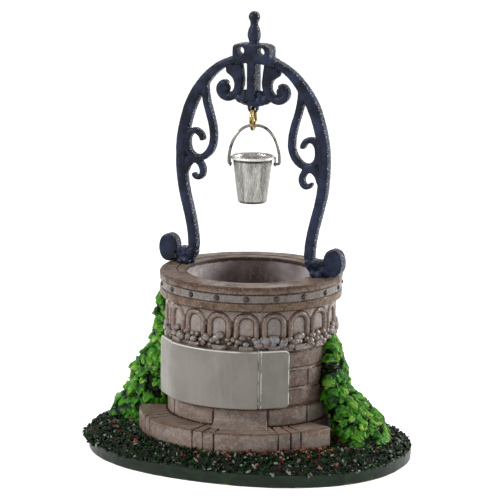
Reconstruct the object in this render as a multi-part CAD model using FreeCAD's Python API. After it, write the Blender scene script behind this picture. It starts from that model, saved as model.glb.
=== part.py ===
import FreeCAD, Part
import math
import os

# Miniature wishing well: a round stone well on an oval green base, with a scrolled iron arch
# that carries a small bucket. Millimetres, +Z up, the sign faces -Y and the arch lies along X.
# The origin is the centre of the base's underside.

Vector = FreeCAD.Vector
up = Vector(0, 0, 1)
front_to_back = Vector(0, 1, 0)
left_to_right = Vector(1, 0, 0)
origin = Vector(0, 0, 0)

# Driving dimensions

# Base and planting
base_half_length = 36.8
base_half_depth = 29.6
base_roundness = 2.2
base_thickness = 3.0
base_side_flare = 0.2
planting_rim_overhang = 0.1
planting_rim_height = 0.7
planting_shoulder_height = 1.9
planting_shoulder_inset = 2.2
planting_crown_height = 2.7
planting_crown_inset = 5.2
planting_clearance = 0.1
planting_end_angle = 0.3

# Stone step in front of the well
step_radius = 24.9
step_height = 7.2
step_half_angle = 70.0
step_nose_radius = 0.6
step_joint_width = 0.35
step_joint_depth = 0.3
step_joint_angles = (-45.0, 0.0, 45.0)
step_joint_offset = 6.0

# Well shaft
shaft_bore_radius = 14.3
shaft_floor_thickness = 7.2
plinth_radius = 18.5
plinth_height = 11.2
plinth_blocks = 9
plinth_start_angle = -2.0
wall_radius = 18.1
brick_course_height = 4.2
brick_courses = 3
bricks_around = 9
mortar_width = 0.32
mortar_depth = 0.25
mortar_start_angle = 8.5

# Mouldings, frieze and coping, from the wall upwards
modules_around = 19
module_start_angle = 2.5
lower_moulding_height = 1.7
lower_moulding_radius = 19.0
lower_moulding_chamfer = 0.3
frieze_height = 7.9
frieze_radius = 18.4
frieze_arch_depth = 0.9
frieze_arch_gap = 0.45
frieze_arch_foot = 1.4
frieze_arch_height = 6.0
niche_width = 3.1
niche_sill = 0.9
niche_height = 3.7
pebble_radius = 0.65
pebble_sink = 0.2
pebble_lift = 0.05
cap_moulding_height = 1.95
cap_moulding_radius = 20.4
cap_moulding_lip = 0.6
cap_moulding_cove = 0.7
band_height = 1.9
band_radius = 20.6
rivet_radius = 0.45
rivet_height = 0.3
coping_height = 1.7
coping_radius = 20.4
coping_edge_round = 0.4

# Sign panels on the front of the wall
sign_centre_angle = -2.5
sign_bottom_above_plinth = 0.5
sign_height = 13.0
sign_centre_radius = 20.8
sign_side_radius = 20.4
sign_centre_half_angle = 31.5
sign_half_angle = 52.0
sign_corner_radius = 0.6
sign_glue_gap = 0.05

# Iron arch
arch_height_over_coping = 47.45
rail_depth = 2.9
scroll_depth = 2.3
small_scroll_depth = 2.1
lobe_depth = 1.9
bracket_depth = 2.5
eye_step = 0.1
volute_depth = 3.2
disc_x = 20.15
disc_height = 3.35
disc_half_width = 2.25
disc_half_height = 3.1
block_inner_x = 15.2
block_outer_x = 17.8
block_height = 3.7
rail_round = 0.5
scroll_round = 0.3
peg_radius = 0.9
peg_length = 1.2
peg_clearance = 0.06
peg_x = 17.1
crown_half_width = 4.5
crown_height = 3.45
crown_depth = 4.2
crown_corner_radius = 1.3
eyelet_x = 2.45
eyelet_half_width = 0.95
eyelet_half_height = 0.85
eyelet_height = 1.95
crown_wall = 0.4
crown_plate = 2.1
crown_floor = 1.15
crown_roof = 0.5
crown_reach = 5.6
crown_skin = 0.2
finial_ball_radius = 1.38
finial_neck_radius = 0.88
finial_bulb_radius = 1.48
finial_foot_radius = 1.12
finial_height = 7.15
finial_foot_height = 0.5
finial_bulb_height = 1.9
post_width = 1.9
post_depth = 3.9
post_tip_radius = 1.3
post_tip_height = 2.0
post_length = 12.2

# Ring, bail and bucket
ring_radius = 2.375
ring_wire_radius = 0.42
ring_hole_radius = 0.72
ring_hole_above_tip = 1.05
ring_lift = 0.2
link_clearance = 0.04
bail_wire_radius = 0.3
bail_half_width = 5.65
bail_saddle_length = 1.4
bail_offset = 0.32
bail_rise = 8.6
bail_bend_radius = 0.45
bail_end_gap = 0.12
hang_turn = 24.0
ring_turn = 13.5
bucket_height = 10.55
bucket_rim_radius = 4.78
bucket_top_radius = 4.5
bucket_bottom_radius = 3.2
bucket_sheet = 0.35
bucket_lip_height = 0.9
bucket_lip_round = 0.15
bucket_bottom_round = 0.5
ear_below_rim = 1.89
ear_half_width = 0.75
ear_thickness = 0.2
ear_rise = 1.6
ear_hole_clearance = 0.06

# Climbing plants at the two sides
ivy_wall_gap = 0.3
left_ivy_angle = -94.0
right_ivy_angle = 97.0

# Levels that follow from the sizes above
plinth_bottom = base_thickness
step_top = base_thickness + step_height
plinth_top = base_thickness + plinth_height
wall_top = plinth_top + brick_courses * brick_course_height
frieze_bottom = wall_top + lower_moulding_height
frieze_top = frieze_bottom + frieze_height
cap_moulding_top = frieze_top + cap_moulding_height
band_top = cap_moulding_top + band_height
coping_top = band_top + coping_height
module_angle = 360.0 / modules_around
brick_angle = 360.0 / bricks_around
rail_crown = coping_top + arch_height_over_coping
post_tip = rail_crown - post_length
ring_hole_centre = post_tip + ring_hole_above_tip
ring_top = ring_hole_centre + ring_lift
ring_centre = ring_top - ring_radius
ring_bottom = ring_centre - ring_radius
bail_top = ring_bottom + ring_wire_radius + link_clearance + bail_wire_radius
ear_axis = bail_top - bail_rise
bucket_rim = ear_axis + ear_below_rim
bucket_bottom = bucket_rim - bucket_height


def export(node, shape):
    shape.exportStep("parts/" + node + ".step")


def group(shapes):
    return Part.makeCompound(shapes)


def largest_solid(shape):
    return max(shape.Solids, key=lambda solid: solid.Volume)


def turned(shape, angle):
    copy = shape.copy()
    copy.rotate(origin, up, angle)
    return copy


def mirrored(shape):
    return shape.mirror(origin, left_to_right)


def cylinder(radius, bottom, top):
    return Part.makeCylinder(radius, top - bottom, Vector(0, 0, bottom))


def tube(outer, inner, bottom, top):
    return cylinder(outer, bottom, top).cut(cylinder(inner, bottom - 1, top + 1))


def sector(outer, inner, bottom, top, start, end):
    """Part of a tube between two angles, measured from the front (-Y) towards +X."""
    reach = 2 * outer
    corners = [Vector(0, 0, bottom - 1)]
    steps = max(2, math.ceil((end - start) / 45.0))
    for i in range(steps + 1):
        angle = math.radians(start + (end - start) * i / steps)
        corners.append(Vector(reach * math.sin(angle), -reach * math.cos(angle), bottom - 1))
    corners.append(corners[0])
    wedge = Part.Face(Part.makePolygon(corners)).extrude(up * (top - bottom + 2))
    return tube(outer, inner, bottom, top).common(wedge)


def revolved(profile):
    """Solid of revolution about Z from a closed outline of (radius, height) points."""
    points = [Vector(radius, 0, height) for radius, height in profile]
    points.append(points[0])
    return Part.Face(Part.makePolygon(points)).revolve(origin, up, 360)


def oval(half_length, half_depth, height):
    """Closed superellipse wire at one height."""
    points = []
    count = 32
    for i in range(count):
        angle = 2 * math.pi * i / count
        c = math.cos(angle)
        s = math.sin(angle)
        x = math.copysign(half_length * abs(c) ** (2 / base_roundness), c)
        y = math.copysign(half_depth * abs(s) ** (2 / base_roundness), s)
        points.append(Vector(x, y, height))
    curve = Part.BSplineCurve()
    curve.interpolate(Points=points, PeriodicFlag=True)
    return Part.Wire(curve.toShape())


def inset_oval(inset, height):
    return oval(base_half_length - inset, base_half_depth - inset, height)


# Base and planting

def make_base_plate():
    lower = inset_oval(0, 0)
    upper = inset_oval(-base_side_flare, base_thickness)
    return Part.makeLoft([lower, upper], True, True)


def make_planting():
    edge = -base_side_flare
    levels = [
        inset_oval(edge, base_thickness),
        inset_oval(edge - planting_rim_overhang, base_thickness + planting_rim_height),
        inset_oval(edge + planting_shoulder_inset, base_thickness + planting_shoulder_height),
        inset_oval(edge + planting_crown_inset, base_thickness + planting_crown_height),
    ]
    bed = Part.makeLoft(levels, True, False)
    top = base_thickness + planting_crown_height
    hollow = cylinder(plinth_radius + planting_clearance, base_thickness - 1, top + 1)
    step_hollow = sector(step_radius + planting_clearance, plinth_radius - 1, base_thickness - 1,
                         top + 1, -step_half_angle - planting_end_angle,
                         step_half_angle + planting_end_angle)
    return largest_solid(bed.cut(hollow).cut(step_hollow))


# Stonework

def radial_groove(outer, inner, bottom, top, angle, width):
    """Thin upright slab that cuts a joint across a ring at one angle from the front."""
    slab = Part.makeBox(width, outer - inner, top - bottom, Vector(-width / 2, -outer, bottom))
    return turned(slab, angle)


def make_step():
    step = sector(step_radius, plinth_radius, base_thickness, step_top,
                  -step_half_angle, step_half_angle)
    nose = [edge for edge in step.Edges
            if isinstance(edge.Curve, Part.Circle) and edge.Curve.Radius > plinth_radius + 1
            and abs(edge.BoundBox.ZMin - step_top) < 0.01]
    step = step.makeFillet(step_nose_radius, nose)
    cuts = []
    for middle in step_joint_angles:
        for offset in (-step_joint_offset, 0, step_joint_offset):
            angle = middle + offset
            cuts.append(radial_groove(step_radius + 1, step_radius - step_joint_depth,
                                      base_thickness - 1, step_top + 1, angle, step_joint_width))
            cuts.append(radial_groove(step_radius + 1, plinth_radius - 1,
                                      step_top - step_joint_depth, step_top + 1,
                                      angle, step_joint_width))
    return largest_solid(step.cut(cuts))


def make_plinth():
    plinth = cylinder(plinth_radius, plinth_bottom, plinth_top)
    bore = cylinder(shaft_bore_radius, plinth_bottom + shaft_floor_thickness, plinth_top + 1)
    plinth = plinth.cut(bore)
    cuts = []
    for i in range(plinth_blocks):
        angle = plinth_start_angle + i * 360.0 / plinth_blocks
        cuts.append(radial_groove(plinth_radius + 1, plinth_radius - mortar_depth,
                                  step_top, plinth_top - mortar_width, angle, mortar_width))
    return largest_solid(plinth.cut(cuts))


def make_wall():
    wall = tube(wall_radius, shaft_bore_radius, plinth_top, wall_top)
    cuts = []
    for course in range(brick_courses):
        bottom = plinth_top + course * brick_course_height
        cuts.append(tube(wall_radius + 1, wall_radius - mortar_depth, bottom,
                         bottom + mortar_width))
        shift = brick_angle / 2 if course % 2 else 0
        for i in range(bricks_around):
            angle = mortar_start_angle + shift + i * brick_angle
            cuts.append(radial_groove(wall_radius + 1, wall_radius - mortar_depth,
                                      bottom + mortar_width / 2, bottom + brick_course_height,
                                      angle, mortar_width))
    return largest_solid(wall.cut(cuts))


def make_lower_moulding():
    middle = wall_top + lower_moulding_height / 2
    return revolved([
        (shaft_bore_radius, wall_top),
        (frieze_radius, wall_top),
        (lower_moulding_radius, middle),
        (lower_moulding_radius, frieze_bottom - lower_moulding_chamfer),
        (frieze_radius, frieze_bottom),
        (shaft_bore_radius, frieze_bottom),
    ])


def make_frieze():
    return tube(frieze_radius, shaft_bore_radius, frieze_bottom, frieze_top)


def round_headed(width, bottom, height, outer, inner):
    """Upright slab with a round head, facing the front, between two distances from the axis."""
    half = width / 2
    spring = bottom + height - half
    depth = -outer
    left = Vector(-half, depth, bottom)
    right = Vector(half, depth, bottom)
    left_spring = Vector(-half, depth, spring)
    right_spring = Vector(half, depth, spring)
    head = Part.Arc(right_spring, Vector(0, depth, spring + half), left_spring)
    wire = Part.Wire([
        Part.makeLine(left, right),
        Part.makeLine(right, right_spring),
        head.toShape(),
        Part.makeLine(left_spring, left),
    ])
    return Part.Face(wire).extrude(front_to_back * (outer - inner))


def module_angles(shift=0.0):
    return [module_start_angle + shift + i * module_angle for i in range(modules_around)]


def make_frieze_arches():
    outer = frieze_radius + frieze_arch_depth
    pitch = 2 * math.pi * outer / modules_around
    bottom = frieze_bottom + frieze_arch_foot
    block = round_headed(pitch - frieze_arch_gap, bottom, frieze_arch_height,
                         outer + 1, frieze_radius - 1)
    niche = round_headed(niche_width, bottom + niche_sill, niche_height,
                         outer + 1, frieze_radius - 1)
    ring = tube(outer, frieze_radius, bottom - 1, frieze_top)
    arch = block.cut(niche).common(ring)
    return group([turned(arch, angle) for angle in module_angles()])


def make_frieze_pebbles():
    """Round pebbles in a row below the arches, two to each module."""
    centre_height = frieze_bottom + pebble_radius + pebble_lift
    pebble = Part.makeSphere(pebble_radius, Vector(0, -frieze_radius - pebble_sink, centre_height))
    pebble = pebble.cut(cylinder(frieze_radius, frieze_bottom - 1, frieze_top))
    angles = module_angles() + module_angles(module_angle / 2)
    return group([turned(pebble, angle) for angle in angles])


def make_cap_moulding():
    return revolved([
        (shaft_bore_radius, frieze_top),
        (cap_moulding_radius - cap_moulding_lip, frieze_top),
        (cap_moulding_radius, frieze_top + cap_moulding_cove),
        (cap_moulding_radius, cap_moulding_top),
        (shaft_bore_radius, cap_moulding_top),
    ])


def make_band():
    return tube(band_radius, shaft_bore_radius, cap_moulding_top, band_top)


def make_rivets():
    """Low domed rivet heads round the band, one above each arch."""
    middle = (cap_moulding_top + band_top) / 2
    ball_radius = (rivet_radius ** 2 + rivet_height ** 2) / (2 * rivet_height)
    centre = Vector(0, -(band_radius + rivet_height - ball_radius), middle)
    head = Part.makeSphere(ball_radius, centre).cut(cylinder(band_radius, cap_moulding_top, band_top))
    return group([turned(largest_solid(head), angle) for angle in module_angles()])


def make_coping():
    coping = tube(coping_radius, shaft_bore_radius, band_top, coping_top)
    rims = [edge for edge in coping.Edges
            if isinstance(edge.Curve, Part.Circle) and abs(edge.BoundBox.ZMin - coping_top) < 0.01]
    coping = coping.makeFillet(coping_edge_round, rims)
    socket_depth = peg_length + peg_clearance
    for side in (-1, 1):
        socket = Part.makeCylinder(peg_radius + peg_clearance, socket_depth + 1,
                                   Vector(side * peg_x, 0, coping_top - socket_depth))
        coping = coping.cut(socket)
    return coping


# Sign

def sign_panel(outer, start, end):
    """A bent slab whose back is notched where it laps over the lower moulding."""
    bottom = plinth_top + sign_bottom_above_plinth
    inner = plinth_radius + sign_glue_gap
    slab = sector(outer, inner, bottom, bottom + sign_height,
                  sign_centre_angle + start, sign_centre_angle + end)
    return largest_solid(slab.cut(make_lower_moulding()))


def rounded_end(panel, angle):
    """Rounds the two outer corners of a side panel at its free end."""
    middle = math.radians(sign_centre_angle + angle)
    corners = []
    for edge in panel.Edges:
        centre = edge.CenterOfMass
        flat = abs(edge.BoundBox.ZLength) < 0.01
        radial = edge.BoundBox.DiagonalLength < sign_side_radius - plinth_radius + 0.5
        away = abs(math.atan2(centre.x, -centre.y) - middle)
        if flat and radial and away < 0.01:
            corners.append(edge)
    return panel.makeFillet(sign_corner_radius, corners)


def make_sign():
    centre = sign_panel(sign_centre_radius, -sign_centre_half_angle, sign_centre_half_angle)
    left = sign_panel(sign_side_radius, -sign_half_angle, -sign_centre_half_angle)
    right = sign_panel(sign_side_radius, sign_centre_half_angle, sign_half_angle)
    export("sign_centre_panel", centre)
    export("sign_left_panel", rounded_end(left, -sign_half_angle))
    export("sign_right_panel", rounded_end(right, sign_half_angle))


# Iron arch. Each bar is a flat outline about a curved centre line, drawn for the right side
# as (x, height above the coping, width) and made into a slab of even depth.

rail_line = [
    (0.0, 47.45, 1.6), (3.6, 47.2, 1.7), (6.1, 46.5, 1.8), (8.45, 45.2, 2.0),
    (10.6, 43.3, 2.3), (12.5, 41.0, 2.6), (14.25, 38.25, 2.8), (15.55, 35.2, 2.8),
    (16.5, 32.0, 2.7),
    (17.2, 28.4, 2.6), (17.4, 24.4, 2.5), (17.15, 19.8, 2.45), (16.45, 15.9, 2.4),
    (15.5, 12.3, 2.4), (14.7, 8.8, 2.4), (14.25, 5.4, 2.4), (14.2, 3.9, 2.4),
]
teardrop_line = [
    (11.7, 42.4, 1.6), (11.65, 39.4, 1.7), (11.2, 36.8, 1.7), (10.25, 33.6, 1.7),
    (9.6, 30.6, 1.7), (9.65, 27.9, 1.7), (10.7, 25.7, 1.7), (12.3, 24.5, 1.6),
    (14.1, 24.4, 1.6), (15.6, 25.8, 1.5), (15.95, 27.7, 1.5), (15.5, 29.4, 1.4),
    (14.4, 30.35, 1.3), (13.2, 30.1, 1.3), (12.45, 29.3, 1.3), (12.1, 28.3, 1.2),
]
small_scroll_line = [
    (16.5, 20.4, 1.5), (16.2, 22.2, 1.9), (15.3, 23.35, 1.8), (14.0, 23.7, 1.4),
    (12.8, 23.1, 1.5), (12.15, 21.9, 1.5), (12.25, 20.6, 1.4), (13.1, 19.85, 1.2),
    (14.1, 20.2, 1.0), (14.3, 20.9, 0.9),
]
bracket_line = [
    (5.5, 46.5, 6.0), (4.6, 45.2, 4.6), (3.85, 43.9, 3.25), (3.45, 42.6, 2.5), (3.4, 41.3, 2.2),
    (3.9, 39.95, 1.9), (5.2, 38.8, 1.9), (6.6, 38.6, 1.9), (7.8, 39.5, 1.8), (7.95, 40.8, 1.7),
    (7.15, 41.65, 1.5), (6.2, 41.45, 1.3),
]
bracket_eye = (6.6, 40.5, 0.95)
lobe_line = [(0.4, 38.1, 3.2), (1.6, 38.1, 3.0), (3.0, 38.4, 2.4), (4.1, 38.9, 1.6)]
volute_line = [
    (14.2, 3.9, 2.4), (14.5, 2.6, 2.4), (15.6, 1.5, 2.4), (17.2, 1.2, 2.3), (18.8, 1.4, 2.3),
    (19.9, 2.0, 2.3),
]


def bar(line, depth, rounding):
    """Slab of even depth with rounded edges, about a centre line of (x, height, width) points."""
    points = [Vector(x, width, coping_top + height) for x, height, width in line]
    curve = Part.BSplineCurve()
    curve.interpolate(Points=points)
    places = [curve.parameter(point) for point in points]
    halfway = [(first + second) / 2 for first, second in zip(places, places[1:])]
    left = []
    right = []
    for place in sorted(places + halfway):
        point = curve.value(place)
        along = curve.tangent(place)[0]
        along = Vector(along.x, 0, along.z).normalize()
        across = Vector(-along.z, 0, along.x) * (point.y / 2)
        middle = Vector(point.x, 0, point.z)
        left.append(middle + across)
        right.append(middle - across)
    tip = middle + along * (point.y / 2)
    left_edge = Part.BSplineCurve()
    left_edge.interpolate(Points=left)
    right_edge = Part.BSplineCurve()
    right_edge.interpolate(Points=right[::-1])
    wire = Part.Wire([
        left_edge.toShape(),
        Part.Arc(left[-1], tip, right[-1]).toShape(),
        right_edge.toShape(),
        Part.makeLine(right[0], left[0]),
    ])
    outline = Part.Face(wire)
    outline.translate(front_to_back * (-depth / 2))
    slab = outline.extrude(front_to_back * depth)
    long_edges = [edge for edge in slab.Edges
                  if edge.BoundBox.YLength < depth / 2 and not isinstance(edge.Curve, Part.Line)]
    return slab.makeFillet(rounding, long_edges)


def oval_plate(x, height, half_width, half_height, depth):
    """Upright oval plate across the arch, its middle this far out and above the coping."""
    centre = Vector(x, -depth / 2, coping_top + height)
    along = centre + Vector(half_width, 0, 0)
    rise = centre + Vector(0, 0, half_height)
    if abs(half_height - half_width) < 0.001:
        edge = Part.Circle(centre, front_to_back, half_width)
    elif half_height > half_width:
        edge = Part.Ellipse(rise, along, centre)
    else:
        edge = Part.Ellipse(along, rise, centre)
    return Part.Face(Part.Wire(edge.toShape())).extrude(front_to_back * depth)


def make_foot(rail):
    """Foot on the coping: a curl, a block and an oval disc, and the peg that goes into its socket."""
    curl = bar(volute_line, volute_depth, rail_round)
    disc = oval_plate(disc_x, disc_height, disc_half_width, disc_half_height, volute_depth)
    disc = disc.makeFillet(rail_round, [edge for edge in disc.Edges
                                        if edge.BoundBox.YLength < 0.01])
    block = Part.makeBox(block_outer_x - block_inner_x, volute_depth, block_height,
                         Vector(block_inner_x, -volute_depth / 2, coping_top))
    uprights = [edge for edge in block.Edges if edge.BoundBox.ZLength > block_height / 2]
    block = block.makeFillet(rail_round, uprights)
    foot = curl.fuse([disc, block]).cut(rail)
    foot = largest_solid(foot.cut(cylinder(2 * coping_radius, 0, coping_top)))
    peg = Part.makeCylinder(peg_radius, peg_length, Vector(peg_x, 0, coping_top - peg_length))
    return foot.fuse(peg).removeSplitter()


def make_crown(rails):
    """Crown plate, flush with the rails' ends that it encloses, hollowed at the back."""
    top = rail_crown + crown_height
    block = Part.makeBox(2 * crown_half_width, crown_depth, crown_height,
                         Vector(-crown_half_width, -crown_depth / 2, rail_crown))
    corners = [edge for edge in block.Edges
               if abs(edge.BoundBox.ZMin - top) < 0.01 and edge.BoundBox.YLength > crown_depth / 2]
    block = block.makeFillet(crown_corner_radius, corners)
    reach = Part.makeBox(crown_reach, 2 * crown_depth, arch_height_over_coping,
                         Vector(0, -crown_depth, coping_top + arch_height_over_coping / 2))
    sleeve = [(x, height, width + 2 * crown_skin) for x, height, width in rail_line]
    collar = bar(sleeve, crown_depth, rail_round).common(reach)
    block = block.fuse([collar, mirrored(collar)])
    inner_width = crown_half_width - crown_wall
    pocket = Part.makeBox(2 * inner_width, crown_depth, crown_height - crown_floor - crown_roof,
                          Vector(-inner_width, crown_plate - crown_depth / 2,
                                 rail_crown + crown_floor))
    block = block.cut(pocket)
    for side in (-1, 1):
        hole = oval_plate(side * eyelet_x, arch_height_over_coping + eyelet_height,
                          eyelet_half_width, eyelet_half_height, 2 * crown_depth)
        block = block.cut(hole)
    return largest_solid(block.cut(rails))


def make_finial():
    """Turned knob: a foot, a bulb, a neck and a ball."""
    bottom = rail_crown + crown_height
    ball_centre = bottom + finial_height - finial_ball_radius
    neck_height = ball_centre - finial_ball_radius
    side = Part.BSplineCurve()
    side.interpolate(Points=[
        Vector(finial_foot_radius, 0, bottom + finial_foot_height),
        Vector(finial_bulb_radius, 0, bottom + finial_bulb_height),
        Vector(finial_neck_radius, 0, neck_height),
    ])
    wire = Part.Wire([
        Part.makeLine(Vector(0, 0, bottom), Vector(finial_foot_radius, 0, bottom)),
        Part.makeLine(Vector(finial_foot_radius, 0, bottom),
                      Vector(finial_foot_radius, 0, bottom + finial_foot_height)),
        side.toShape(),
        Part.makeLine(Vector(finial_neck_radius, 0, neck_height), Vector(0, 0, neck_height)),
        Part.makeLine(Vector(0, 0, neck_height), Vector(0, 0, bottom)),
    ])
    stem = Part.Face(wire).revolve(origin, up, 360)
    collar = cylinder(finial_neck_radius, neck_height, ball_centre)
    ball = Part.makeSphere(finial_ball_radius, Vector(0, 0, ball_centre))
    return largest_solid(stem.fuse([collar, ball]).removeSplitter())


def make_post_blank():
    """Flat post below the crown, with a round tip, before the ring's hole is drilled."""
    tip_centre = post_tip + post_tip_radius
    shoulder = tip_centre + post_tip_height
    post = Part.makeBox(post_width, post_depth, rail_crown - shoulder,
                        Vector(-post_width / 2, -post_depth / 2, shoulder))
    uprights = [edge for edge in post.Edges if edge.BoundBox.ZLength > post_depth]
    post = post.makeFillet(rail_round, uprights)
    rod = cylinder(post_tip_radius, tip_centre, shoulder)
    tip = Part.makeSphere(post_tip_radius, Vector(0, 0, tip_centre))
    return post.fuse([rod, tip]).removeSplitter()


def make_post(blank, rails, crown):
    hole = Part.makeCylinder(ring_hole_radius, 4 * post_tip_radius,
                             Vector(0, -2 * post_tip_radius, ring_hole_centre), front_to_back)
    return largest_solid(blank.cut(turned(hole, ring_turn)).cut(rails).cut(crown))


def make_bracket(rails, crown):
    """Scroll below the crown, its curled end filled by a round eye."""
    x, height, radius = bracket_eye
    eye = oval_plate(x, height, radius, radius, bracket_depth - 2 * eye_step)
    bracket = bar(bracket_line, bracket_depth, scroll_round).fuse(eye)
    return largest_solid(bracket.cut(rails).cut(crown))


def make_arch():
    right_rail = bar(rail_line, rail_depth, rail_round)
    left_rail = mirrored(right_rail)
    rails = group([left_rail, right_rail])
    crown = make_crown(rails)
    blank = make_post_blank()
    export("arch_left_rail", left_rail)
    export("arch_right_rail", right_rail)
    export("crown_block", crown)
    export("drop_post", make_post(blank, rails, crown))
    export("finial", make_finial())
    teardrop = largest_solid(bar(teardrop_line, scroll_depth, scroll_round).cut(right_rail))
    small = bar(small_scroll_line, small_scroll_depth, scroll_round)
    small = largest_solid(small.cut(right_rail).cut(teardrop))
    bracket = make_bracket(rails, crown)
    lobe = largest_solid(bar(lobe_line, lobe_depth, scroll_round).cut(blank).cut(bracket))
    foot = make_foot(right_rail)
    for name, shape in (("teardrop_scroll", teardrop), ("small_scroll", small),
                        ("crown_bracket", bracket), ("post_lobe", lobe), ("foot_volute", foot)):
        export("right_" + name, shape)
        export("left_" + name, mirrored(shape))


# Ring, bail and bucket, hung from the post

def make_ring():
    ring = Part.makeTorus(ring_radius, ring_wire_radius, Vector(0, 0, ring_centre), left_to_right)
    return turned(ring, ring_turn)


def bail_leg(side):
    """Edges of one side of the bail: a quarter ellipse, a bend inwards and the pin in the ear."""
    leg_bottom = ear_axis + bail_bend_radius
    shoulder = bail_offset + side * bail_saddle_length / 2
    leg = bail_offset + side * bail_half_width
    bend = leg - side * bail_bend_radius
    slope = math.sqrt(0.5) * bail_bend_radius
    centre = Vector(shoulder, 0, leg_bottom)
    top = Vector(shoulder, 0, bail_top)
    corner = Vector(leg, 0, leg_bottom)
    middle = Vector(bend + side * slope, 0, leg_bottom - slope)
    inner = Vector(bend, 0, ear_axis)
    pin_end = Vector(side * (bucket_top_radius + bail_end_gap), 0, ear_axis)
    if bail_half_width - bail_saddle_length / 2 > bail_top - leg_bottom:
        ellipse = Part.Ellipse(corner, top, centre)
    else:
        ellipse = Part.Ellipse(top, corner, centre)
    reach = 2 * bail_half_width
    keep = Part.makeBox(reach, 2, 2 * bail_rise,
                        Vector(min(shoulder, shoulder + side * reach), -1, leg_bottom))
    edges = ellipse.toShape().common(keep).Edges
    edges.append(Part.Arc(corner, middle, inner).toShape())
    edges.append(Part.makeLine(inner, pin_end))
    return edges


def make_bail():
    """Wire handle with a short straight saddle in the ring, a little off the pail's middle."""
    half = bail_saddle_length / 2
    saddle = Part.makeLine(Vector(bail_offset - half, 0, bail_top),
                           Vector(bail_offset + half, 0, bail_top))
    path = Part.Wire(Part.sortEdges([saddle] + bail_leg(-1) + bail_leg(1))[0])
    start = path.OrderedVertexes[0].Point
    section = Part.Wire(Part.makeCircle(bail_wire_radius, start, left_to_right))
    wire = path.makePipeShell([section], True, False)
    return turned(wire, hang_turn)


def make_bucket():
    """Tapered pail with a rolled lip, turned from one outline."""
    slope = (bucket_top_radius - bucket_bottom_radius) / bucket_height
    bottom = bucket_bottom
    lip = bucket_rim - bucket_lip_height
    inner_bottom = bottom + bucket_sheet
    pail = revolved([
        (0, bottom),
        (bucket_bottom_radius - bucket_bottom_round, bottom),
        (bucket_bottom_radius, bottom + bucket_bottom_round),
        (bucket_bottom_radius + slope * (lip - bottom), lip),
        (bucket_rim_radius - bucket_lip_round, lip),
        (bucket_rim_radius, lip + bucket_lip_round),
        (bucket_rim_radius, bucket_rim - bucket_lip_round),
        (bucket_rim_radius - bucket_lip_round, bucket_rim),
        (bucket_top_radius - bucket_sheet, bucket_rim),
        (bucket_bottom_radius - bucket_sheet, inner_bottom),
        (0, inner_bottom),
    ])
    return pail


def make_ears():
    """Two upright tabs seated on the lip, each with the hole that the bail's pin turns in."""
    ears = []
    seat = bucket_rim_radius - bucket_lip_round
    outer = bucket_rim_radius + ear_thickness
    for side in (-1, 1):
        top = ear_axis + ear_rise
        tab = Part.makeBox(outer - seat, 2 * ear_half_width, top - ear_axis,
                           Vector(seat, -ear_half_width, ear_axis))
        tab = tab.fuse(Part.makeCylinder(ear_half_width, outer - seat,
                                         Vector(seat, 0, ear_axis), left_to_right))
        hole = Part.makeCylinder(bail_wire_radius + ear_hole_clearance, 2 * outer,
                                 Vector(0, 0, ear_axis), left_to_right)
        tab = tab.cut(hole).cut(cylinder(bucket_rim_radius, bucket_bottom, bucket_rim))
        if side < 0:
            tab = mirrored(tab)
        ears.append(turned(largest_solid(tab), hang_turn))
    return group(ears)


# Climbing plants: (height above the base plate, inner reach and outer reach from the well's
# axis, half width)

left_ivy_levels = [
    (2.9, 19.5, 34.3, 8.0), (5.2, 18.8, 34.0, 8.0), (7.0, 18.0, 32.2, 7.5), (9.5, 17.5, 30.6, 7.0),
    (13.1, 17.5, 30.0, 6.2), (16.8, 17.5, 27.6, 5.5), (19.2, 17.5, 25.0, 5.0),
    (22.5, 17.5, 24.4, 4.6), (26.0, 17.5, 24.5, 4.2), (29.5, 17.6, 23.9, 3.6),
    (32.2, 18.2, 22.9, 2.4),
]
right_ivy_levels = [
    (2.9, 20.5, 32.2, 8.2), (5.0, 20.2, 31.2, 8.0), (6.8, 19.5, 29.8, 7.6), (8.8, 18.8, 27.8, 7.2),
    (10.4, 18.2, 26.0, 6.9), (12.2, 17.5, 23.9, 6.4), (14.5, 17.2, 22.3, 5.9),
    (18.0, 17.2, 21.9, 4.9), (20.5, 17.4, 21.5, 4.1), (22.4, 17.6, 20.8, 3.2),
    (24.0, 18.0, 20.1, 2.2),
]


def upright_ellipse(x_half, y_half, centre):
    """Level elliptical wire with half lengths along X and Y."""
    x_end = centre + Vector(x_half, 0, 0)
    y_end = centre + Vector(0, y_half, 0)
    if x_half >= y_half:
        ellipse = Part.Ellipse(x_end, y_end, centre)
    else:
        ellipse = Part.Ellipse(y_end, centre - Vector(x_half, 0, 0), centre)
    return Part.Wire(ellipse.toShape())


def make_ivy(levels, angle):
    """Leafy clump that leans on the stone, clear of it by a small gap, at an angle from the front."""
    wires = []
    for height, inner, outer, half in levels:
        centre = Vector((outer + inner) / 2, 0, base_thickness + height)
        wires.append(upright_ellipse((outer - inner) / 2, half, centre))
    clump = Part.makeLoft(wires, True, False)
    arch_face = frieze_radius + frieze_arch_depth
    clump = clump.cut(cylinder(plinth_radius + ivy_wall_gap, 0, wall_top))
    clump = clump.cut(cylinder(arch_face + ivy_wall_gap, wall_top - 1, frieze_top))
    clump = clump.cut(cylinder(band_radius + rivet_height + ivy_wall_gap, frieze_top - ivy_wall_gap,
                               coping_top))
    return turned(largest_solid(clump), angle - 90)


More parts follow.
